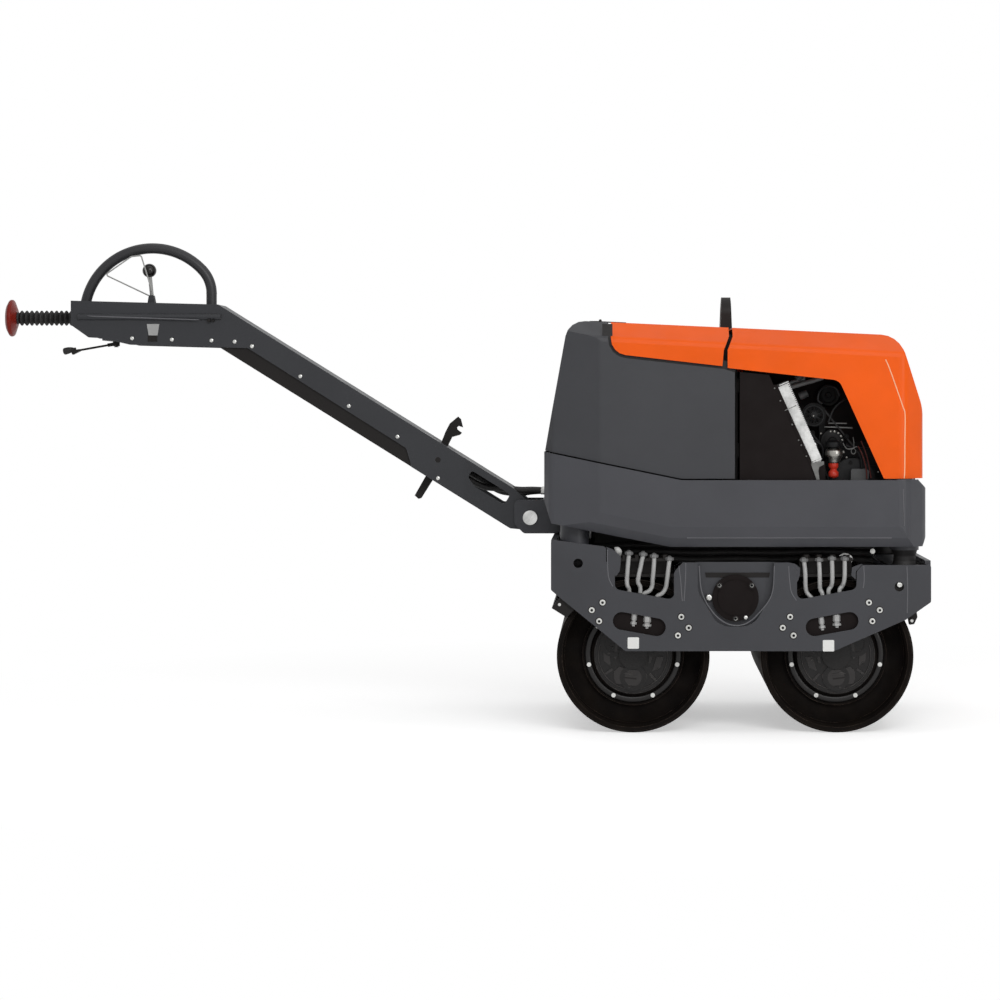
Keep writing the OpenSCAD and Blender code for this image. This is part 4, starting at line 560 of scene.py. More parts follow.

# %% [markdown]
# Hydraulic hoses run down inside the drawbar, cross over its pivot and enter the engine bed.
# Each one is a single tube across the pivot; it is not attached to either body.

# %% Hoses over the pivot
hose_radius = 0.009
hose_wall = (0.2475, 0.652)
hose_routes = []
hose_pitch = hose_radius * 2.4
for place, lift, dip in ((-1.5, 0.004, -0.012), (-0.5, -0.003, 0.006), (0.5, 0.006, -0.004),
                         (1.5, -0.004, 0.01)):
    y = place * hose_pitch
    hose_routes.append([(-0.0249, y, 0.7246 + dip), (0.058, y * 0.98, 0.679 + dip),
                        (0.11, y * 1.02, 0.655 + lift), (0.165, y, 0.648 + lift),
                        (0.205, y, 0.651 + lift / 2), (hose_wall[0], y, hose_wall[1])])

hose_shape = bmesh.new()
for route in hose_routes:
    tube(hose_shape, smooth_path(route, 9), hose_radius)
hoses = from_bmesh("pivot_hoses", hose_shape)
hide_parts("hose_bundle")
settle(hoses, None, rubber, "rubber_black")
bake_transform(hoses)

gland_shape = bmesh.new()
for route in hose_routes:
    turned(gland_shape, [(0.0094, 0), (0.0125, 0), (0.0125, 0.006), (0.0105, 0.009), (0.0105, 0.016),
                         (0.0094, 0.018)], (hose_wall[0], route[-1][1], hose_wall[1]), (-1, 0, 0), 6)
made("hose_glands", gland_shape, "roller", zinc, "zinc_fastener", 25)
hose_line = smooth_path(hose_routes[0])
hose_length = sum((b - a).length for a, b in zip(hose_line, hose_line[1:]))
print("hoses:", len(hose_routes), "the first", round(hose_length, 3), "m")

# %% [markdown]
# The stop button at the drawbar's end slides in a rubber bellows. Real bellows are moulded with
# rounded ribs, so the profile is one smooth wave turned about the axis.

# %% Bellows
bellows_low, bellows_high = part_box("stop_bellows")
bellows_mid = ((bellows_low.y + bellows_high.y) / 2, (bellows_low.z + bellows_high.z) / 2)
bellows_reach = bellows_high.x - bellows_low.x
ribs = 11
rib_steps = 12
rib_root, rib_height = 0.0148, 0.0072
cuff_length, cuff_radius, bore_radius, rubber_wall = 0.006, 0.0168, 0.0125, 0.0023
wave = []
for i in range(ribs * rib_steps + 1):
    t = i / (ribs * rib_steps)
    crest = (0.5 - 0.5 * math.cos(2 * math.pi * ribs * t)) ** 0.7
    wave.append((rib_root + rib_height * crest, cuff_length + t * (bellows_reach - 2 * cuff_length)))
inside = [(radius - rubber_wall, along) for radius, along in wave][::-1]
wave = [(bore_radius, 0.0), (cuff_radius, 0.0), (cuff_radius, 0.004)] + wave
wave += [(cuff_radius, bellows_reach - 0.004), (cuff_radius, bellows_reach), (bore_radius, bellows_reach)]
bellows_shape = bmesh.new()
turned(bellows_shape, wave + inside + [(bore_radius, 0.0)], (bellows_low.x, *bellows_mid), (1, 0, 0), 40)
bmesh.ops.remove_doubles(bellows_shape, verts=bellows_shape.verts, dist=1e-6)
bellows = from_bmesh("bellows", bellows_shape)
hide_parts("stop_bellows")
settle(bellows, "drawbar", rubber, "rubber_black", 60)
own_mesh(bellows)
print("bellows", round(bellows_reach, 4), "m, ribs", ribs)

# %% [markdown]
# Small pieces are placed where the photograph shows them. With the camera looking straight along
# +Y, a picture point and a depth give a place by one scale: so many millimetres for each pixel
# of a 1000 pixel picture, growing evenly with the distance from the camera.

# %% From a picture point to a place
photo_width = 1000
axis_px, axis_py = 620, 395


def seen_at(px, py, y):
    """The place in the model of a picture point, on the upright plane at depth y."""
    scale = (y - camera.location.y) / (lens_data.lens / lens_data.sensor_width * photo_width)
    return Vector((camera.location.x + (px - axis_px) * scale, y, camera.location.z - (py - axis_py) * scale))


def seen_path(points, y):
    return [seen_at(px, py, y) for px, py in points]


def seen_outline(points, y):
    """The same as (x, z) points, for a plate that is drawn in side view."""
    return [(spot.x, spot.z) for spot in seen_path(points, y)]


plate_corner = (545, 540)
print("the near side plate's corner", [round(v, 4) for v in seen_at(*plate_corner, -plate_face)])

# %% [markdown]
# The drawbar is folded from plate and closed by screwed covers. A row of zinc button-head screws
# follows its belly on both sides.

# %% Drawbar screws
arm_side = 0.08
arm_screw_radius = 0.0062
arm_screw_spots = ((132.1, 338.4), (171.9, 339.6), (211.5, 340.5), (234.7, 341.7), (252, 346.3),
                   (300.4, 376.4), (348.8, 406.1), (397.5, 436.7), (438.1, 478.2))
arm_screw_shape = bmesh.new()
for px, py in arm_screw_spots:
    turned_pair(arm_screw_shape, screw_head(arm_screw_radius), seen_at(px, py, -arm_side), arm_side, 16)
made("arm_screws", arm_screw_shape, "drawbar", zinc, "zinc_fastener", 30)
print("arm screws on both sides")

# %% [markdown]
# The control head carries a bright plate over a dark recess, two round recesses, and a long pressed
# rib. A thin pale line along the rib, which fades out at both ends, is a painted highlight.

# %% Plates, recesses and ribs of the head
head_plate = ((146.8, 324.0), (159.4, 324.0), (157.6, 335.4), (148.8, 335.4))
plate_recess = ((148.0, 335.6), (157.2, 335.6), (157.2, 341.6), (147.8, 341.6))
round_recesses = ((209.4, 320.6, 0.0052), (213.6, 320.6, 0.0036))
rib_route = ((88, 315.8), (93, 316.4), (99, 316.6), (130, 317.6), (165, 318.8), (190, 319.6), (195, 319.8),
             (200, 319.8))
rib_end_radius, rib_swell, swell_points = 0.0008, 0.0011, 4
plate_shape = bmesh.new()
dark_shape = bmesh.new()
rib_highlight_line = bmesh.new()
for shape, corners in ((plate_shape, head_plate), (dark_shape, plate_recess)):
    for plate in mirrored(seen_outline(corners, -arm_side), 0.0803, 0.0818):
        slab(shape, *plate)
for px, py, r in round_recesses:
    turned_pair(dark_shape, [(0, 0.0012), (r * 0.8, 0.0012), (r, 0), (r, -0.008), (0, -0.008)],
                seen_at(px, py, -arm_side), 0.0898, 20)
for side in both_sides:
    path = smooth_path([(x, side * 0.0905, z) for x, z in seen_outline(rib_route, -arm_side)], 4)
    last = len(path) - 1
    shares = [min(1, k / swell_points, (last - k) / swell_points) for k in range(last + 1)]
    tube(rib_highlight_line, path, [rib_end_radius + rib_swell * share for share in shares], 8)
made("head_plates", plate_shape, "drawbar", pipe_metal, "zinc_fastener", 30)
made("head_recesses", dark_shape, "drawbar", black_paint_finish, "black_paint", 30)
made("head_rib_highlights", rib_highlight_line, "drawbar", fold_highlight_paint, "frame_dark", 60)
print("head plates, recesses and ribs on both sides")

# %% [markdown]
# A zinc ring clamps the bellows to the drawbar, and a rubber grip covers the throttle lever's end.
# The ring is turned. The grip could be turned too, but it bends a little, so it is a tube whose
# radius changes from point to point.

# %% Bellows flange and throttle grip
flange_shape = bmesh.new()
turned(flange_shape, [(0.0173, 0), (0.0250, 0), (0.0250, 0.0022), (0.0173, 0.0022), (0.0173, 0)],
       (bellows_high.x - 0.003, *bellows_mid), (1, 0, 0), 40)
bmesh.ops.remove_doubles(flange_shape, verts=flange_shape.verts, dist=1e-6)
made("bellows_flange", flange_shape, "drawbar", zinc, "zinc_fastener", 40)

grip_route = ((76, 348.6), (72.5, 349.4), (69, 350.3), (65.5, 351.2), (63.4, 351.7))
grip_path = smooth_path(seen_path(grip_route, -0.024), 4)
grip_radii = [0.0034, 0.0036, 0.004, 0.005, 0.0064, 0.0072, 0.008, 0.0086, 0.0092, 0.0096, 0.0098, 0.0099,
              0.0099, 0.0098, 0.0094, 0.0084, 0.006]
grip_shape = bmesh.new()
tube(grip_shape, grip_path, grip_radii, 16)
made("throttle_grip", grip_shape, "throttle", rubber, "rubber_black", 50)
print("grip points", len(grip_path))

# %% [markdown]
# Two small blank squares sit on the side plate above the drums. They are thin plastic plates
# with rounded corners, stuck to the paint, and they carry nothing.

# %% Blank squares on the side plates
def rounded_square(width, radius, steps=5):
    points = []
    for cx, cz, start in ((1, 1, 0), (-1, 1, 90), (-1, -1, 180), (1, -1, 270)):
        for i in range(steps + 1):
            a = math.radians(start + 90 * i / steps)
            points.append((cx * (width / 2 - radius) + radius * math.cos(a),
                           cz * (width / 2 - radius) + radius * math.sin(a)))
    return points


square_spots = ((633.3, 643.0), (828.5, 645.7))
square_width, square_corner, square_depth = 0.031, 0.003, 0.0008
squares = []
for spot in seen_path(square_spots, -plate_face):
    outline = [(spot.x + x, spot.z + z) for x, z in rounded_square(square_width, square_corner)]
    squares += mirrored(outline, plate_face, plate_face + square_depth)
sheets("blank_squares", squares, white_patch, "white_plastic")
print("blank squares", len(squares))

# %% [markdown]
# Through the window one looks past an inclined radiator into the engine bay, and nearly all of it
# is black. A sheet behind the belt side and foam strips round the openings keep the daylight of
# the far side out, so the shapes in front read as dark on dark, as they do in the picture.

# %% Dark sheets and seals behind the openings
bay_back = [(0.99, 0.703), (1.034, 0.703), (1.034, 0.796), (1.19, 0.796), (1.262, 0.83), (1.262, 0.945),
            (1.225, 1.03), (1.19, 1.06), (0.80, 1.082), (0.80, 0.942), (0.884, 0.942), (0.886, 0.9485),
            (0.916, 0.9612), (0.928, 0.950), (1.013, 0.775)]
sheets("bay_back_sheet", [(bay_back, -0.2155, -0.2125)], panel_paint, "black_paint")
gap_strip = [(0.8865, 0.953), (0.988, 0.735), (0.988, 0.7), (1.0, 0.7), (1.0, 0.735), (0.9, 0.957)]
sheets("radiator_seals", mirrored(gap_strip, 0.354, 0.370), rubber, "rubber_black")
edge_fill = [(0.867, 0.955), (0.887, 0.955), (0.981, 0.749), (0.981, 0.70), (0.9586, 0.70)]
sheets("panel_fillers", mirrored(edge_fill, 0.3845, 0.3865), panel_paint, "black_paint")
crown = [(0.8905, 0.9485), (0.9152, 0.9597), (0.9130, 0.9665), (0.8885, 0.9555)]
sheets("radiator_crown", [(crown, -0.36, -0.2165), (crown, -0.2115, 0.36)], rubber, "rubber_black")
lid_lip = [(0.772, 0.990), (0.440, 1.027), (0.408, 1.06), (0.408, 1.122), (0.436, 1.122), (0.436, 1.076),
           (0.452, 1.054), (0.772, 1.018)]
sheets("lid_seals", mirrored(lid_lip, 0.386, 0.3925), rubber, "rubber_black")


def ribbon(shape, path, z0, z1, thickness):
    """An upright strip that follows a path drawn in plan as (x, y) points."""
    rings = []
    for i, at in enumerate(path):
        ahead = (Vector(path[min(i + 1, len(path) - 1)]) - Vector(path[max(i - 1, 0)])).normalized()
        side = Vector((-ahead.y, ahead.x)) * thickness / 2
        at = Vector(at)
        rings.append([shape.verts.new((*(at + side * e), z))
                      for e, z in ((-1, z0), (1, z0), (1, z1), (-1, z1))])
    for first, second in zip(rings, rings[1:]):
        for k in range(4):
            m = (k + 1) % 4
            shape.faces.new((first[k], first[m], second[m], second[k]))
    shape.faces.new(rings[0][::-1])
    shape.faces.new(rings[-1])


foot_shape = bmesh.new()
lip_shape = bmesh.new()
for side in both_sides:
    ribbon(foot_shape, [(1.19, side * 0.3915), (1.226, side * 0.3915), (1.262, side * 0.3435)],
           0.6943, 0.716, 0.004)
    ribbon(lip_shape, [(1.214, side * 0.4062), (1.2725, side * 0.4062)], 0.6941, 0.6963, 0.002)
made("hood_foot_seals", foot_shape, "roller", rubber, "rubber_black", 30)
made("bed_top_lip", lip_shape, "roller", bed_paint, "frame_dark", 30)
print("sheets and seals ready")

# %% [markdown]
# The radiator shows its side tank as a pale inclined bar. Fine ribs cross it, a strap holds it in
# the middle, and a steel foot carries its lower end. Small clips pin the black panel's slanted edge.

# %% Radiator details
radiator_face = 0.373
bar_ends = ((783.5, 382.5), (817.5, 461.5))
radiator_top, radiator_end = seen_path(bar_ends, -radiator_face)
slope = (radiator_end - radiator_top).normalized()
square_to = Vector((-slope.z, 0, slope.x))
rib_count = 44
bar_half = 0.0138
bar_length = (radiator_end - radiator_top).length
rib_pitch = bar_length / rib_count
ribs_drawn = []
for i in range(rib_count):
    at = radiator_top + slope * rib_pitch * (i + 0.5)
    half = slope * rib_pitch * 0.28
    reach = square_to * bar_half
    ribs_drawn.append(([((at + a + b).x, (at + a + b).z) for a, b in
                        ((reach, half), (reach, -half), (-reach, -half), (-reach, half))], -0.3732, -0.372))
sheets("radiator_ribs", ribs_drawn, radiator_metal, "radiator_metal")

strap_spot = (789.5, 408.5, -0.375)
strap_at = seen_at(*strap_spot)
strap = [((strap_at + square_to * a + slope * b).x, (strap_at + square_to * a + slope * b).z)
         for a, b in ((0.0195, -0.003), (0.0195, 0.001), (0.014, 0.0005), (-0.015, 0.0005),
                      (-0.015, -0.0012), (0.012, -0.0015))]
foot_corners = ((810.8, 462.8), (823.8, 461.2), (824, 464.5), (819.2, 467), (818.4, 471), (819.5, 479.8),
                (816.6, 479.8), (811.6, 466))
foot = seen_outline(foot_corners, -0.3745)
sheets("radiator_strap", [(strap, -0.3885, -0.387), (foot, -0.3755, -0.3735)], dull_steel, "bright_steel")
# A thin black sheet just behind the foot: painted shade.
shade_corners = ((811, 463), (825, 461.5), (825.5, 480.5), (811, 480.5))
foot_shade = seen_outline(shade_corners, -0.3728)
sheets("radiator_foot_shade", [(foot_shade, -0.3728, -0.3722)], panel_paint, "black_paint")
clip_spots = ((774.6, 388.3), (780.3, 400.8), (792.2, 424.6), (798.6, 440.2), (801.2, 445.3), (806.3, 456.2))
clip_shape = bmesh.new()
for spot in seen_path(clip_spots, -0.3925):
    turned(clip_shape, screw_head(0.0024), spot, toward_camera, 16)
made("panel_clips", clip_shape, "roller", dull_steel, "bright_steel", 30)
print("radiator bar", round(bar_length, 3), "m, ribs", rib_count)

# %% [markdown]
# In front of the engine sit a coolant pipe, a dark fan hub, two guide rails and a round pump
# cover with bright bolts, then the fuel filter with its red bowl. They are drawn where the
# picture shows them, each as the turned or bent part that it is.

# %% Engine bay: coolant pipes
coolant_routes = ((((789, 388.5), (793.5, 386.5), (802, 383.8), (812, 381.0), (823, 377.5)), 0.0066, -0.27),
                  (((788.5, 384), (793, 381.8), (799, 380.4), (805, 378.6)), 0.0052, -0.262))
pipe_shape = bmesh.new()
for route, r, y in coolant_routes:
    tube(pipe_shape, smooth_path(seen_path(route, y)), r, 16)
made("coolant_pipe", pipe_shape, "roller", pipe_grey, "cast_grey", 40)

upper_union = seen_at(796.5, 379.5, -0.262)
lower_union = seen_at(799.5, 396.5, -0.266)
union_shape = bmesh.new()
turned(union_shape, [(0, 0), (0.011, 0), (0.012, 0.003), (0.012, 0.03), (0, 0.03)],
       upper_union, (0.6, 0.1, 0.6), 20)
turned(union_shape, [(0, 0), (0.009, 0), (0.0105, 0.003), (0.0105, 0.024), (0, 0.024)],
       lower_union, (0.8, 0, 0.35), 20)
made("coolant_unions", union_shape, "roller", worn_casting, "cast_grey", 40)
print("coolant pipes", len(coolant_routes))

# %% Engine bay: round covers
cover_shape = bmesh.new()
hub_at = seen_at(828.4, 395.1, -0.248)
turned(cover_shape, [(0, 0.004), (0.007, 0.004), (0.009, 0.0), (0.02, 0.0), (0.022, 0.006), (0.029, 0.008),
                     (0.033, 0.004), (0.034, -0.002), (0.034, -0.012), (0, -0.012)],
       hub_at, toward_camera, 40)
pump_at = seen_at(832.3, 441.2, -0.312)
turned(cover_shape, [(0, 0.010), (0.010, 0.010), (0.012, 0.006), (0.021, 0.006), (0.026, 0.003),
                     (0.0315, 0.002), (0.033, -0.003), (0.033, -0.02), (0, -0.02)],
       pump_at, toward_camera, 40)
bay_plugs = ((812, 433.5, 0.009), (846.5, 436.5, 0.007), (850.5, 462.5, 0.010), (856, 474, 0.008))
for px, py, r in bay_plugs:
    turned(cover_shape, [(0, 0.006), (r * 0.5, 0.006), (r * 0.55, 0), (r * 0.9, 0), (r, -0.003), (r, -0.02),
                         (0, -0.02)], seen_at(px, py, -0.30), toward_camera, 24)
made("bay_round_covers", cover_shape, "roller", deep_black, "engine_black", 40)
print("fan hub and pump cover at depth", round(hub_at.y, 3), round(pump_at.y, 3))

# %% Engine bay: rails, fan wheel and hoses
rails = ((((828.3, 423.3), (846.8, 423.3)), 0.0022), (((824.5, 427.0), (852.5, 427.9)), 0.0026))
rail_shape = bmesh.new()
for ends, r in rails:
    start, stop = seen_path(ends, -0.29)
    tube(rail_shape, [start, start.lerp(stop, 0.5), stop], r, 10)
made("bay_rails", rail_shape, "roller", dull_steel, "bright_steel", 40)

wheel_shape = bmesh.new()
wheel_at = seen_at(813.6, 415.8, -0.306)
spokes = 8
turned(wheel_shape, [(0.0255, 0), (0.0262, 0.0014), (0.0284, 0.0014), (0.029, 0), (0.0255, 0)], wheel_at,
       toward_camera, 48)
for k in range(spokes):
    a = math.radians(360 / spokes * k + 22)
    ray = Vector((math.cos(a), 0, math.sin(a)))
    tube(wheel_shape, [wheel_at + ray * 0.005, wheel_at + ray * 0.015, wheel_at + ray * 0.026], 0.0009, 8)
bmesh.ops.remove_doubles(wheel_shape, verts=wheel_shape.verts, dist=1e-6)
made("fan_wheel_face", wheel_shape, "fan", engine_iron, "engine_black", 40)

bay_hose_routes = ((((806, 428), (812, 434), (818, 441), (826, 449), (828, 455)), 0.0035),
                   (((822, 404), (818, 400), (820, 391), (828, 386.5), (836, 388), (840, 396)), 0.0028),
                   (((828.5, 422), (834, 409), (845, 399), (852, 397)), 0.003),
                   (((806, 436), (813, 440), (822, 446), (823, 456), (819, 468)), 0.004),
                   (((846, 445), (858, 452), (862, 464), (860, 478)), 0.0045))
hose_shape = bmesh.new()
for route, r in bay_hose_routes:
    path = [seen_at(px, py, -0.322 + 0.004 * i) for i, (px, py) in enumerate(route)]
    tube(hose_shape, smooth_path(path), r, 10)
made("bay_hoses", hose_shape, "roller", engine_iron, "rubber_black", 50)
print("rails 2, spokes", spokes, "hoses 5")

# %% Engine bay: bolts, dipstick and leads
bolt_shape = bmesh.new()
for k in range(5):
    a = math.radians(8 + 23 * k)
    spot = pump_at + Vector((0.0275 * math.cos(a), -0.0032, 0.0275 * math.sin(a)))
    turned(bolt_shape, screw_head(0.0034 if k % 2 else 0.0026), spot, toward_camera, 16)
bay_bolt_spots = ((813.4, 415.9, 0.0024, -0.3075), (821, 433.5, 0.0026, -0.3), (843.5, 452, 0.004, -0.3),
                  (846.5, 457.5, 0.003, -0.3), (878.2, 472, 0.003, -0.3))
for px, py, r, y in bay_bolt_spots:
    turned(bolt_shape, screw_head(r), seen_at(px, py, y), toward_camera, 16)
made("bay_bolts", bolt_shape, "roller", shaded_steel, "bright_steel", 30)

ring_shape = bmesh.new()
ring_at = seen_at(853.4, 451.3, -0.33)
ring = [ring_at + Vector((0.0062 * math.cos(a), 0, 0.0075 * math.sin(a)))
        for a in (math.radians(15 * i) for i in range(25))]
tube(ring_shape, ring, 0.0013, 8)
dipstick_routes = ((((853.6, 448.4), (854, 443), (853, 437)), -0.33, 0.0012),
                   (((843, 443), (846, 448), (850, 449), (857, 446.5)), -0.328, 0.0016))
for route, y, r in dipstick_routes:
    tube(ring_shape, smooth_path(seen_path(route, y)), r, 8)
made("dipstick_ring", ring_shape, "roller", dull_steel, "bright_steel", 50)

lead_routes = (((861, 441), (865.5, 452), (868.5, 463), (871, 478)),
               ((858, 446), (862.5, 455), (866, 468), (867, 479)))
lead_shape = bmesh.new()
for route in lead_routes:
    tube(lead_shape, smooth_path(seen_path(route, -0.335)), 0.0016, 8)
made("engine_leads", lead_shape, "roller", lead_red, "red_plastic", 50)
print("bay bolts 10, leads", len(lead_routes))

# %% [markdown]
# The fuel filter is a metal can over a clear red bowl with a waist. It hangs from a cast head,
# which the can and the bowl screw to, so all three are turned about one upright axis.

# %% Fuel filter
filter_low, filter_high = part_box("fuel_filter")
filter_px, filter_py, filter_y = 833.4, 460, -0.332
filter_x = seen_at(filter_px, filter_py, filter_y).x
upward = (0, 0, 1)
bowl_shape = bmesh.new()
turned(bowl_shape, [(0, 0.0), (0.009, 0.0), (0.0135, 0.004), (0.0145, 0.010), (0.0135, 0.016),
                    (0.0095, 0.0205), (0.0095, 0.024), (0.0125, 0.028), (0.0140, 0.033), (0.0140, 0.041),
                    (0, 0.041)], (filter_x, filter_y, 0.6985), upward, 32)
bowl = from_bmesh("filter_bowl", bowl_shape)
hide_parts("fuel_filter")
settle(bowl, "roller", red_plastic, "red_plastic", 35)

can_shape = bmesh.new()
turned(can_shape, [(0, 0.0), (0.0165, 0.0), (0.0185, 0.004), (0.0195, 0.012), (0.024, 0.018), (0.0255, 0.026),
                   (0.0245, 0.034), (0.019, 0.040), (0.012, 0.043), (0, 0.043)],
       (filter_x + 0.0015, filter_y, 0.7395), upward, 36)
made("filter_can", can_shape, "roller", shaded_steel, "bright_steel", 35)
head_shape = bmesh.new()
turned(head_shape, [(0, 0), (0.02, 0), (0.022, 0.003), (0.022, 0.014), (0.012, 0.02), (0, 0.02)],
       (filter_x, filter_y, 0.7825), upward, 28)
head_arm = ((-0.012, 0.786), (0.012, 0.786), (0.012, 0.799), (-0.012, 0.799))
slab(head_shape, [(filter_x + dx, z) for dx, z in head_arm], filter_y, -0.214)
made("filter_head", head_shape, "roller", engine_iron, "engine_black", 35)
print("filter axis at", round(filter_x, 4), "CAD filter from", filter_low[:], "to", filter_high[:])

# %% [markdown]
# Beside the filter the starter's cover shows at the window's lower edge. It could be a bevelled box,
# but only its outline is seen, so it is cut as a plate with two slanted corners.

# %% Starter cover
starter_corners = ((850.5, 468.8), (867.5, 481))
(left, top), (right, bottom) = seen_outline(starter_corners, -0.315)
starter = [(left, bottom), (right, bottom), (right + 0.004, top - 0.006), (right - 0.004, top),
           (left + 0.004, top), (left, top - 0.004)]
sheets("starter_cover", [(starter, -0.33, -0.225)], worn_casting, "cast_grey")
print("starter cover", round(right - left, 3), "m long")

# %% [markdown]
# The side plates are pressed: shallow folds run down beside each notch and round the pocket of
# the exciter cover. A thin rounded bead along each fold, in a paler tone of the plate's paint, is a
# painted highlight for the light that the folds catch.

# %% Press folds on the side plates
fold_routes = ((((607.4, 549.5), (607.6, 566), (608.8, 578), (612.8, 586.5)), 0.0017),
               (((678.8, 566), (680.6, 580), (681.6, 594), (682.4, 601)), 0.0017),
               (((788.6, 566), (789.6, 580), (791.4, 592), (796.5, 600.5)), 0.0017),
               (((863.8, 566), (864.2, 580), (863.2, 588)), 0.0017),
               (((685.8, 563), (685.4, 580), (684, 601)), 0.0017),
               (((907, 566.5), (907.6, 590), (907.2, 613)), 0.0017),
               (((699.2, 566), (701, 588), (705.5, 601), (713.5, 613), (721.5, 620.5), (730.5, 624.8),
                 (741, 625.2), (750.5, 621), (759.5, 612.5), (769, 600.5), (773.2, 588), (774.4, 566)),
                0.0018))
fold_shape = bmesh.new()
for route, radius in fold_routes:
    for side in both_sides:
        path = [(x, side * (plate_face - 0.0009), z) for x, z in seen_outline(route, -plate_face)]
        tube(fold_shape, smooth_path(path, 6), radius, 8)
made("press_fold_highlights", fold_shape, "roller", fold_highlight_paint, "frame_dark", 60)
print("press folds", len(fold_routes), "on each side")

# %% [markdown]
# Each notch for the pipes has slanted corners, closer in than the CAD plate's. Its outline could be
# cut again, but these slivers are too fine for that: small plates fill the corners, just behind
# the face.

# %% Corner plates beside each notch
corners = (((606.2, 547), (612.6, 549.4), (617.6, 553.4), (620.8, 557), (620.5, 565.5), (619.6, 571.5),
            (615.7, 576.6), (614.6, 573.2), (607.9, 563.7), (607.5, 550)),
           ((681.5, 562.2), (675.9, 565.3), (675.2, 573.2), (675.2, 599.9), (674, 598.2), (674, 573.2),
            (682.6, 562.2)),
           ((788, 562.5), (795.3, 564), (800.1, 567.9), (799.9, 574.7), (797.8, 581.4), (796.5, 581.4),
            (796.5, 570.7)),
           ((861.6, 564), (856.3, 565.7), (852, 567.6), (851.5, 575.7), (854.9, 578.6), (857.5, 581),
            (857.5, 582.4), (855.8, 582.4), (855.8, 571.4), (862.5, 564.4)))
cheeks = [plate for corner in corners
          for plate in mirrored(seen_outline(corner, -plate_face), 0.3985, 0.4096)]
sheets("notch_cheeks", cheeks, frame_paint, "frame_dark")
print("corner plates", len(cheeks))

# %% [markdown]
# Button-head screws hold the frame. Each CAD screw gets the hexagon of its socket and a dark ring
# round its head, a painted contact shadow; the place is read from the solid itself, island by island, so they
# can't drift apart.

# %% Screw sockets
def islands(solid):
    """The boxes of the separate lumps of one mesh, in the order of its vertices."""
    shape = bmesh.new()
    shape.from_mesh(solid.data)
    left = set(shape.verts)
    boxes = []
    for seed in shape.verts:
        if seed not in left:
            continue
        left.remove(seed)
        edge_of = [seed]
        lump = []
        while edge_of:
            vert = edge_of.pop()
            lump.append(solid.matrix_world @ vert.co)
            for edge in vert.link_edges:
                other = edge.other_vert(vert)
                if other in left:
                    left.remove(other)
                    edge_of.append(other)
        boxes.append((Vector(map(min, zip(*lump))), Vector(map(max, zip(*lump)))))
    shape.free()
    return boxes


screws = islands(solids["frame_bolts"])
socket_radius = 0.0042
socket_shape = bmesh.new()
contact_shade_shape = bmesh.new()
for low, high in screws:
    side = -1 if low.y + high.y < 0 else 1
    face = low.y if side < 0 else high.y
    middle_x, middle_z = (low.x + high.x) / 2, (low.z + high.z) / 2
    reach = (high.x - low.x) / 2
    turned(socket_shape, [(0, 0.0004), (socket_radius * 0.8, 0.0004), (socket_radius, 0.0),
                          (socket_radius, -0.001), (0, -0.001)],
           (middle_x, face, middle_z), (0, side, 0), 6)
    # A dark ring round each head: painted contact shadow.
    turned(contact_shade_shape, [(reach + 0.0004, 0), (reach + 0.0004, 0.0006), (reach + 0.0022, 0.0004),
                        (reach + 0.0024, 0), (reach + 0.0004, 0)],
           (middle_x, side * (plate_face + 0.0001), middle_z), (0, side, 0), 24)
made("frame_sockets", socket_shape, "roller", worn_casting, "black_paint", 25)
bmesh.ops.remove_doubles(contact_shade_shape, verts=contact_shade_shape.verts, dist=1e-6)
made("bolt_contact_shades", contact_shade_shape, "roller", black_paint_finish, "black_paint", 40)
print("frame screws", len(screws))

# %% [markdown]
# Each drum end is dished and stiffened by a rounded ring, and the bolts stand on that ring. The ring
# turns with its drum, so each drum has a piece of its own.

# %% Drum ends
def drum_end_rings(name, x, body):
    shape = bmesh.new()
    turned_pair(shape, [(0.1145, 0.0), (0.1165, 0.0035), (0.121, 0.0058), (0.129, 0.0058), (0.1335, 0.0035),
                        (0.1355, 0.0), (0.1355, -0.002), (0.1145, -0.002), (0.1145, 0.0)],
                Vector((x, 0, drum_z)), 0.3165, 96)
    bmesh.ops.remove_doubles(shape, verts=shape.verts, dist=1e-6)
    made(name, shape, body, ring_black, "black_paint", 40)


drum_end_rings("front_end_rings", front_drum_x, "front_drum_set")
drum_end_rings("rear_end_rings", rear_drum_x, "rear_drum_set")
print("drum end rings on both sides")
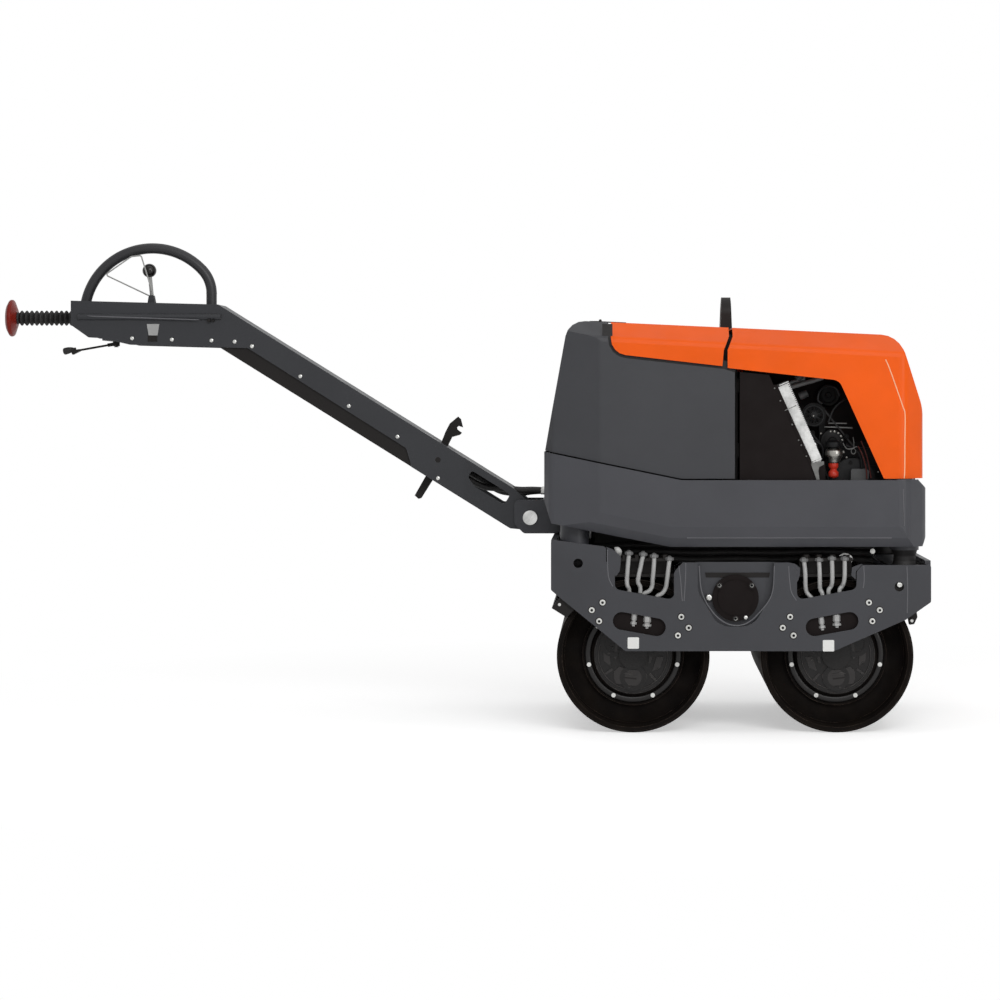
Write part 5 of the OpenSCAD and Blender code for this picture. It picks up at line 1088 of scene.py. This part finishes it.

# %% [markdown]
# In front of each drum end hangs the carrier's round casting, with a boss, a slotted pad, ribs and
# small screws. Sculpting it would be slow and uneven; every raised form here is a turned ring or a
# plate that stands a few millimetres proud of the disc. The raised forms are painted lighter than
# the disc and paler still at their edges: a painted highlight.

# %% Castings in front of the drum ends
def casting_relief(shape, x, side, tilt):
    """The raised forms on a carrier's disc, turned by tilt degrees; gives back the outline of its slot."""
    turn = math.radians(tilt)
    y = side * 0.334

    def at(points):
        return [(x + dx * math.cos(turn) - dz * math.sin(turn),
                 drum_z + dx * math.sin(turn) + dz * math.cos(turn)) for dx, dz in points]

    turned(shape, [(0, 0.005), (0.020, 0.005), (0.022, 0.0035), (0.030, 0.0035), (0.033, 0.007),
                   (0.037, 0.007), (0.039, 0), (0.039, -0.002), (0, -0.002)],
           (x, y, drum_z), (0, side, 0), 48)
    for inner, outer, rise in ((0.0935, 0.0975, 0.0028), (0.1045, 0.1075, 0.0018)):
        turned(shape, [(inner, 0), (inner + 0.001, rise), (outer - 0.001, rise), (outer, 0), (outer, -0.002),
                       (inner, -0.002), (inner, 0)], (x, y, drum_z), (0, side, 0), 72)
    pads = [[(-0.034, -0.037), (-0.046, -0.052), (-0.044, -0.070), (-0.038, -0.084), (0.038, -0.084),
             (0.044, -0.070), (0.046, -0.052), (0.034, -0.037), (0.012, -0.041), (-0.012, -0.041)],
            [(0.045, -0.018), (0.052, -0.014), (0.052, 0.052), (0.045, 0.056)],
            [(-0.052, -0.014), (-0.045, -0.018), (-0.045, 0.056), (-0.052, 0.052)],
            [(0.058, -0.038), (0.078, -0.026), (0.084, 0.004), (0.066, 0.004), (0.062, -0.018)],
            [(-0.078, -0.026), (-0.058, -0.038), (-0.062, -0.018), (-0.066, 0.004), (-0.084, 0.004)],
            [(0.050, -0.048), (0.054, -0.044), (0.072, -0.060), (0.068, -0.064)],
            [(-0.054, -0.044), (-0.050, -0.048), (-0.068, -0.064), (-0.072, -0.060)]]
    for k, pad in enumerate(pads):
        slab(shape, at(pad), *sorted((y - side * 0.002, y + side * (0.0038 if k == 0 else 0.003))))
    slab(shape, at(((-0.020, -0.0545), (-0.015, -0.050), (0.015, -0.050), (0.020, -0.0545))),
         *sorted((y, y + side * 0.0062)))
    for screw_x, screw_z in at(((-0.060, 0.014), (-0.068, -0.004), (0.070, -0.030), (0.064, -0.056),
                                (0, -0.0905))):
        turned(shape, [(0, 0.005), (0.0022, 0.005), (0.0032, 0.003), (0.0032, 0), (0, 0)],
               (screw_x, y, screw_z), (0, side, 0), 10)
    return at(((-0.017, -0.0625), (-0.017, -0.0665), (0.017, -0.0665), (0.017, -0.0625)))


relief_shape = bmesh.new()
pad_slots = []
for x, tilt in ((rear_drum_x, -7), (front_drum_x, 7)):
    for side in both_sides:
        slot = casting_relief(relief_shape, x, side, tilt)
        pad_slots.append((slot, *sorted((side * 0.336, side * 0.3381))))
made("carrier_relief", relief_shape, "roller", relief_casting_highlit, "black_paint", 30)
sheets("carrier_slots", pad_slots, black_paint_finish, "black_paint")
print("castings", len(pad_slots))

# %% [markdown]
# Between frame and bed everything is black: hydraulic hoses run from end to end there and close the
# view through. Each is a tube along a curve that sags a little, as a loose hose does.

# %% Frame hoses
hose_places = ((-0.262, 0.472, 0.004), (-0.255, 0.490, 0.003), (-0.248, 0.507, 0.002),
               (-0.205, 0.463, 0.006), (-0.185, 0.482, 0.004), (0.262, 0.472, 0.004), (0.255, 0.490, 0.003),
               (0.205, 0.464, 0.006))
hose_lines = bmesh.new()
for y, z, sag in hose_places:
    route = [(0.385, y * 0.7, z - 0.01), (0.47, y * 0.9, z - 0.002), (0.56, y, z), (0.66, y * 1.02, z - sag),
             (0.78, y, z - sag * 0.5), (0.90, y * 1.01, z - sag), (1.0, y, z), (1.08, y * 0.9, z - 0.003),
             (1.165, y * 0.7, z - 0.01)]
    tube(hose_lines, smooth_path(route, 6), 0.0092, 12)
made("frame_hoses", hose_lines, "roller", rubber, "rubber_black", 50)
shield = [(0.385, 0.46), (0.60, 0.46), (0.60, 0.506), (0.592, 0.508), (0.385, 0.5475)]
sheets("belly_shields", mirrored(shield, 0.1665, 0.17), black_paint_finish, "black_paint")
print("frame hoses", len(hose_places))

# %% [markdown]
# Two pale sleeves and one bright coupling stand out of the dark gap. A sleeve swells and narrows, so
# its tube is given a radius at each stop and runs evenly between them.

# %% Pale sleeves and a coupling
sleeve_steps = 5
sleeves = ((((614.4, 547.6), (617.0, 549.4), (619.2, 552.4), (620.8, 556.4)),
            (0.0015, 0.0085, 0.0090, 0.0015)),
           (((839.4, 555.8), (843.6, 554.4), (848.0, 555.6), (850.8, 558.6), (851.0, 562.6)),
            (0.001, 0.0038, 0.0052, 0.0056, 0.002)))
sleeve_shape = bmesh.new()
for route, radii in sleeves:
    tube(sleeve_shape, smooth_path(seen_path(route, -0.345), sleeve_steps), eased(radii, sleeve_steps), 14)
made("pale_sleeves", sleeve_shape, "roller", white_patch, "white_plastic", 60)

coupling_spot = (872.6, 551.2, -0.31)
r = 0.007
coupling_shape = bmesh.new()
turned(coupling_shape, [(0, 0.006), (r * 0.55, 0.006), (r * 0.6, 0.002), (r, 0.002), (r, -0.012),
                        (0, -0.012)], seen_at(*coupling_spot), toward_camera, 24)
made("frame_couplings", coupling_shape, "roller", zinc, "zinc_fastener", 30)
print("sleeves", len(sleeves), "coupling at", seen_at(*coupling_spot)[:])

# %% [markdown]
# Bright bent pipes leave each valve block. At the top a hexagonal nut and a short stub turn each one
# back into the block; at the foot it bends in behind the plate. A curve through a few points read
# from the picture gives each pipe its own bend.

# %% Bent pipes and their nuts
pipe_routes = [
    ((629.0, 554.4), (628.4, 560), (627.6, 569), (627.0, 579), (627.2, 585), (629.0, 589.5)),
    ((643.2, 555.4), (642.0, 560), (640.4, 568), (638.6, 576), (638.0, 582), (640.2, 587.5)),
    ((654.2, 557.2), (654.0, 562), (653.4, 571), (652.6, 580), (652.2, 586), (649.6, 591), (644, 594.5)),
    ((669.5, 560.0), (668.8, 565), (667.8, 573), (666.8, 582), (665.6, 588.5), (662.4, 593.6), (657, 597)),
    ((803.9, 561.2), (804.8, 568), (805.3, 576), (805.6, 585), (806.8, 592), (810, 596.4), (813, 599.6)),
    ((819.0, 561.0), (819.4, 568), (819.7, 576), (819.9, 583), (820.5, 589.2), (822.6, 594)),
    ((831.9, 559.6), (832.1, 566), (832.3, 575), (832.3, 582.4), (831.3, 586.8), (829, 590.4)),
    ((844.6, 560.0), (844.7, 567), (844.6, 575), (844.0, 582), (842.6, 586.4), (840, 589.8)),
]
pipe_top_y, pipe_middle_y, pipe_low_y = 0.4045, 0.398, 0.3905


def pipe_depth(z):
    """Upright in the plate's notch at the top, the pipes lean in behind the plate further down."""
    if z < 0.405:
        return pipe_low_y
    return pipe_middle_y if z < 0.424 else pipe_top_y


elbow_shape = bmesh.new()
nut_shape = bmesh.new()
for route in pipe_routes:
    for side in both_sides:
        path = [Vector((x, side * pipe_depth(z), z)) for x, z in seen_outline(route, -0.4035)]
        path.append(Vector((path[-1].x, side * 0.389, path[-1].z - 0.016)))
        tube(elbow_shape, smooth_path(path, 6), 0.0060, 16)
        turned(nut_shape, [(0.0062, -0.001), (0.0105, 0), (0.0115, 0.0015), (0.0115, 0.0065),
                           (0.0100, 0.0085), (0, 0.0095)],
               (path[0].x, path[0].y, path[0].z - 0.001), (0.04, 0, 1), 6)
        turned(nut_shape, [(0, 0), (0.0075, 0), (0.0075, 0.040), (0, 0.040)],
               (path[0].x, side * 0.402, path[0].z + 0.003), (0, -side, 0), 12)
bent_pipes = from_bmesh("bent_pipes", elbow_shape)
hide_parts("hydraulic_pipes")
settle(bent_pipes, "roller", pipe_metal, "bright_steel", 60)
made("pipe_nuts", nut_shape, "roller", pipe_grey, "zinc_fastener", 25)
print("bent pipes", 2 * len(pipe_routes))

# %% [markdown]
# Behind each long slot a thin black sheet stands for the shade there, a painted shade, and two plated
# fittings show in it. A fitting is turned with six sides, because a spanner has to grip it.

# %% Slots and their fittings
# Thin black sheets behind the slots: painted shade.
slot_shades = [[(0.430, 0.276), (0.590, 0.256), (0.590, 0.324), (0.430, 0.346)],
               [(0.955, 0.256), (1.115, 0.276), (1.115, 0.346), (0.955, 0.324)]]
sheets("slot_shades", [plate for shade in slot_shades for plate in mirrored(shade, 0.3984, 0.3992)],
       panel_paint, "black_paint")
fittings = ((634.0, 618.2, 0.0085, 0.1), (647.2, 620.4, 0.0112, 0.04), (821.6, 622.2, 0.0085, -0.12),
            (836.6, 619.6, 0.0112, -0.04))
fitting_y = 0.3975
fitting_shape = bmesh.new()
for px, py, wide, lean in fittings:
    for side in both_sides:
        spot = seen_at(px, py, -fitting_y)
        turned(fitting_shape, [(0, 0.022), (0.004, 0.022), (0.0045, 0.015), (wide * 0.9, 0.014),
                               (wide, 0.012), (wide, -0.004), (wide * 0.75, -0.006), (wide * 0.75, -0.009),
                               (wide * 1.12, -0.010), (wide * 1.12, -0.016), (0.006, -0.018),
                               (0.005, -0.022), (0, -0.022)],
               (spot.x, side * fitting_y, spot.z), (lean, 0, 1), 6)
made("slot_fittings", fitting_shape, "roller", pipe_metal, "zinc_fastener", 25)
print("slot fittings", 2 * len(fittings))

# %% [markdown]
# The folds of the hood and the bed catch the light along a thin line, brighter than either face.
# A rounded bead on each fold, in a paler tone of the paint, is a painted highlight for that line.

# %% Painted highlights on the folds
def bead(shape, path, radius):
    for side in both_sides:
        tube(shape, smooth_path([Vector((p.x, side * abs(p.y), p.z)) for p in path], 6), radius, 8)


hood_highlight_line = bmesh.new()
hood_fold = ((885.6, 359.5, -0.4), (889.5, 368.5, -0.4002), (897, 389.5, -0.4002), (902.8, 406.5, -0.3992),
             (905.0, 414.5, -0.3966), (904.9, 440, -0.3967), (904.7, 470, -0.3968), (904.2, 478.4, -0.397))
bead(hood_highlight_line, [seen_at(*spot) for spot in hood_fold],
     0.0015)
made("hood_fold_highlights", hood_highlight_line, "hood", highlight_orange, "hood_orange", 60)
bed_highlight_line = bmesh.new()
bed_fold = ((903.4, 489), (903.6, 500), (904, 515), (904.2, 526))
bead(bed_highlight_line, seen_path(bed_fold, -0.4065), 0.0013)
bead(bed_highlight_line, [Vector((x, -0.4017, 0.536)) for x in (0.64, 0.8, 1.0, 1.2)], 0.0015)
made("bed_fold_highlights", bed_highlight_line, "roller", fold_highlight_paint, "frame_dark", 60)
print("beads on both sides")

# %% [markdown]
# A lashing hole at the frame's front end is closed from behind and holds a bolt; smaller bolts
# clamp the scrapers and the exciter's cover. They are pale dots on the dark plate in the picture.
# The scrapers' brackets are cut here too, as plates, and so is a black strip along the ledge over the
# exciter, a painted shade.

# %% Lashing caps and bolts
cap_spot, bolt_spot = (899.4, 587.2, -plate_face), (899.7, 584.6, -0.405)
flat_bolts = ((911.6, 620.6, 0.0055), (559.5, 604.5, 0.006))
domed_bolts = ((708.9, 597.5, 0.0095), (745.8, 617.6, 0.0062))
cap_shape = bmesh.new()
lash_shape = bmesh.new()
turned_pair(cap_shape, [(0, 0), (0.018, 0), (0.018, 0.002), (0, 0.002)], seen_at(*cap_spot), 0.3955, 32)
turned_pair(lash_shape, screw_head(0.0088), seen_at(*bolt_spot), 0.402, 16)
for px, py, r in flat_bolts:
    turned_pair(lash_shape, [(0, 0.004), (r * 0.7, 0.004), (r, 0.001), (r, -0.012), (0, -0.012)],
                seen_at(px, py, -0.395), 0.395, 12)
for px, py, r in domed_bolts:
    turned_pair(lash_shape, screw_head(r), seen_at(px, py, -0.392), 0.3925, 16)
scraper_bracket = [(1.250, 0.345), (1.268, 0.345), (1.272, 0.318), (1.263, 0.299), (1.251, 0.297),
                   (1.2485, 0.31)]
# A black strip along the ledge over the exciter: painted shade.
ledge_shade_corners = ((705, 572.6), (770, 572.6), (769, 577.4), (706, 577.4))
ledge_shade = seen_outline(ledge_shade_corners, -0.386)
for plate in mirrored(scraper_bracket, 0.355, 0.386) + mirrored(ledge_shade, 0.3848, 0.3862):
    slab(cap_shape, *plate)
made("lashing_caps", cap_shape, "roller", black_paint_finish, "black_paint", 30)
made("lashing_bolts", lash_shape, "roller", zinc, "zinc_fastener", 30)
print("lashing bolts, scraper bolts and cover bolts on both sides")
